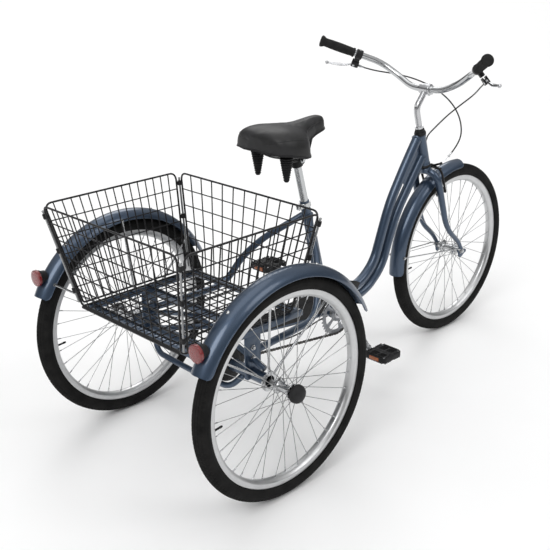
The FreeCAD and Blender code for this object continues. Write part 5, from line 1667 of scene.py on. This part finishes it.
def make_saddle_frame():
    """Shell, rails, cone springs and the clamp on top of the seat post."""
    shell = Soup()
    shares = [i / 40 for i in range(41)]
    upper, lower = [], []
    for share in shares:
        half, low = blend_table(SADDLE_SHAPE, min(0.985, max(0.015, share)))[:2]
        x = SADDLE_TAIL + 4 + share * (SADDLE_LENGTH - 8)
        for row, drop in ((upper, 0.0), (lower, 6.0)):
            row.append([vec(x, (half - 5 - drop * 0.5) * (k / 8 - 1), low - drop + 0.2) for k in range(17)])
    verts = [p for row in upper for p in row] + [p for row in lower for p in row]
    width, rows = 17, len(shares)
    faces = []
    for layer in (0, 1):
        for i in range(rows - 1):
            for k in range(width - 1):
                a = layer * rows * width + i * width + k
                faces.append((a, a + 1, a + width + 1, a + width))
    for i in range(rows - 1):
        for k in (0, width - 1):
            a = i * width + k
            b = rows * width + a
            faces.append((a, a + width, b + width, b))
    for i in (0, rows - 1):
        for k in range(width - 1):
            a = i * width + k
            b = rows * width + a
            faces.append((a, a + 1, b + 1, b))
    shell.add(verts, faces)
    for y in (-40, 0, 40):
        tube_soup(shell, [vec(-372, y, 882), vec(-300, y * 0.9, 873)], 2.2, 8)
    place(shell.piece("saddle_moulded_shell", BLACK_PLASTIC), "saddle", "black_plastic", "saddle_base")
    post_top = MAST_TOP + SEAT * 150
    rails = Soup()
    for side in SIDES:
        points = [vec(-325, side * 62, 872), vec(-290, side * 40, 850),
                  vec(post_top.x - 20, side * 22, post_top.z - 3),
                  vec(post_top.x + 30, side * 21, post_top.z + 2), vec(-160, side * 12, 900)]
        tube_soup(rails, rounded(points, 0.45, 12), 3.5, 18)
        lathe_soup(rails, soft_edge([(1e-6, -2), (9, -2), (9, 3), (1e-6, 3)], 0.6),
                   vec(-325, side * 62, 871), Z, 28)
    tube_soup(rails, flowing([vec(-322, -60, 868), vec(-318, 0, 862), vec(-322, 60, 868)], 10), 3.2, 14)
    lathe_soup(rails,
               soft_edge([(12.75, -27), (17.5, -27), (19, -25), (19, -3), (17.5, -1), (12.75, -1)], 0.8),
               post_top, SEAT, 48)
    lathe_soup(rails, soft_edge([(1e-6, -26), (9, -26), (9, 26), (1e-6, 26)], 0.9), post_top - SEAT * 2, Y,
               40)
    for side in SIDES:
        lathe_soup(rails, soft_edge([(3.5, -3), (13.5, -3), (13.5, 3), (3.5, 3)], 0.8),
                   post_top - SEAT * 2 + Y * (side * 26), Y, 40)
    place(rails.piece("saddle_rail_pair", BLACK_METAL), "saddle", "black_metal", "saddle_rails")
    nuts = Soup()
    for side in SIDES:
        bolt(nuts, post_top - SEAT * 2 + Y * (side * 29), Y * side, 11.0, 6.0)
    place(nuts.piece("saddle_clamp_nuts", CHROME), "saddle", "bright_steel")
    springs = Soup()
    for side in SIDES:
        low = vec(-324, side * 62, 797)
        profile = [(1e-6, -1.0), (5.6, -0.6), (7.0, 1.0)]
        turns = 9
        for k in range(turns):
            at = 3.0 + k * 7.4
            size = 7.6 + 13.0 * (at + 3.7) / 74
            profile.extend([(size - 1.5, at), (size + 0.5, at + 1.6), (size + 0.9, at + 3.2),
                            (size + 0.5, at + 4.8), (size - 1.5, at + 6.4)])
        profile.extend([(20.8, 70.4), (21.2, 71.4), (21.2, 73.6), (20.0, 74.2), (1e-6, 74.2)])
        lathe_soup(springs, profile, low, Z, 48)
    place(springs.piece("saddle_cone_springs", BLACK_PLASTIC), "saddle", "black_plastic", "saddle_springs")
    post = soft_edge([(11.3, -120), (12.7, -120), (12.7, 148), (11.9, 150), (1e-6, 150)], 0.4)
    place(lathe("seat_post_tube", post, MAST_TOP, SEAT, CHROME, 44), "saddle", "bright_steel", "seat_post")


# ---- basket -----------------------------------------------------------------------------------

BASKET_TOP = (-943.0, -437.0, 313.0)
BASKET_LOW = (-887.0, -470.0, 240.0)
RIM_Z, FLOOR_Z = 783.0, 480.0
POST_GAP = 12.5
BORDER_ROD, GRID_WIRE = 3.0, 1.95


def make_panel(soup, corners, across, along, normal, corner_radius=26.0):
    """Welded wire panel: a rod border with rounded top corners and a grid of thinner wires."""
    low_left, low_right, high_right, high_left = corners

    def at(u, v):
        low = low_left + (low_right - low_left) * u
        high = high_left + (high_right - high_left) * u
        return low + (high - low) * v
    points = [low_left, high_left, high_right, low_right]
    border = []
    for index, point in enumerate(points):
        back = (points[index - 1] - point).normalized()
        ahead = (points[(index + 1) % 4] - point).normalized()
        size = corner_radius if index in (1, 2) else 8.0
        for k in range(9):
            u = k / 8
            border.append(point + back * (size * (1 - u) ** 2) + ahead * (size * u * u))
    tube_soup(soup, border, BORDER_ROD, 12, closed=True)
    for column in range(1, across):
        u = column / across
        tube_soup(soup, [at(u, 0) - normal * 1.6, at(u, 1) - normal * 1.6], GRID_WIRE, 8)
    for row in range(1, along):
        v = row / along
        tube_soup(soup, [at(0, v) + normal * 1.4, at(1, v) + normal * 1.4], GRID_WIRE, 8)


def make_basket():
    top_back, top_front, top_half = BASKET_TOP
    low_back, low_front, low_half = BASKET_LOW
    gap = POST_GAP
    sides = Soup()
    for side in SIDES:
        corners = [vec(low_back + gap, side * low_half, FLOOR_Z + 1),
                   vec(low_front - gap, side * low_half, FLOOR_Z + 1),
                   vec(top_front - gap, side * top_half, RIM_Z - 2),
                   vec(top_back + gap, side * top_half, RIM_Z - 2)]
        normal = (corners[1] - corners[0]).cross(corners[3] - corners[0]).normalized()
        make_panel(sides, corners, 16, 6, normal)
    place(sides.piece("basket_sides_wire", BLACK_WIRE), "frame", "basket_black", "basket_side_panels")
    ends = Soup()
    for low_x, top_x in ((low_back, top_back), (low_front, top_front)):
        corners = [vec(low_x, -low_half + gap, FLOOR_Z + 1), vec(low_x, low_half - gap, FLOOR_Z + 1),
                   vec(top_x, top_half - gap, RIM_Z - 2), vec(top_x, -top_half + gap, RIM_Z - 2)]
        normal = (corners[1] - corners[0]).cross(corners[3] - corners[0]).normalized()
        make_panel(ends, corners, 12, 6, normal)
    tube_soup(ends,
              [vec(low_back - 1, -low_half + 18, FLOOR_Z - 4),
               vec(low_back - 1, low_half - 18, FLOOR_Z - 4)], 5.0, 16)
    place(ends.piece("basket_ends_wire", BLACK_WIRE), "frame", "basket_black", "basket_end_panels")
    floor = Soup()
    drop = FLOOR_Z - 6
    corners = [vec(low_back + 8, -low_half + 8, drop), vec(low_front - 8, -low_half + 8, drop),
               vec(low_front - 8, low_half - 8, drop), vec(low_back + 8, low_half - 8, drop)]
    make_panel(floor, corners, 12, 14, Z, 8.0)
    place(floor.piece("basket_floor_wire", BLACK_WIRE), "frame", "basket_black", "basket_floor")
    posts = Soup()
    clips = Soup()
    for low_x, top_x in ((low_back, top_back), (low_front, top_front)):
        for side in SIDES:
            start = vec(low_x, side * low_half, FLOOR_Z)
            end = vec(top_x, side * top_half, RIM_Z)
            run = end - start
            tube_soup(posts, [start + run * 0.02, start + run * 0.93], 3.2, 16)
            for share in (0.12, 0.52, 0.86):
                at = start + run * share
                lathe_soup(clips, soft_edge([(3.25, -1), (6.4, -1), (6.4, 15), (3.25, 15)], 1.0), at, run,
                           24)
                end_way = vec(-1 if low_x == low_back else 1, 0, 0)
                for way in (vec(0, -side, 0), -end_way):
                    box_soup(clips, at + run.normalized() * 7 + way * 9, (5.5, 2.4, 5.5),
                             (way, run.normalized().cross(way).normalized(), run.normalized()), 1.0)
            dome(posts, start + run * 0.93, run, 4.4, 3.6)
    place(posts.piece("basket_post_rods", SPOKE_STEEL), "frame", "steel_wire", "basket_corner_posts")
    place(clips.piece("basket_post_clips", BLACK_PLASTIC), "frame", "black_plastic")


make_camera()
make_studio()
make_wheels()
make_rear_axles()
make_fenders()
make_fender_stays()
make_front_frame()
make_rear_frame()
make_band_brake()
make_drive()
make_chain()
make_chain_guard()
make_crankset()
make_pedals()
make_fork()
make_cockpit()
make_levers()
make_caliper()
make_cables()
make_basket()
make_cushion()
make_saddle_frame()
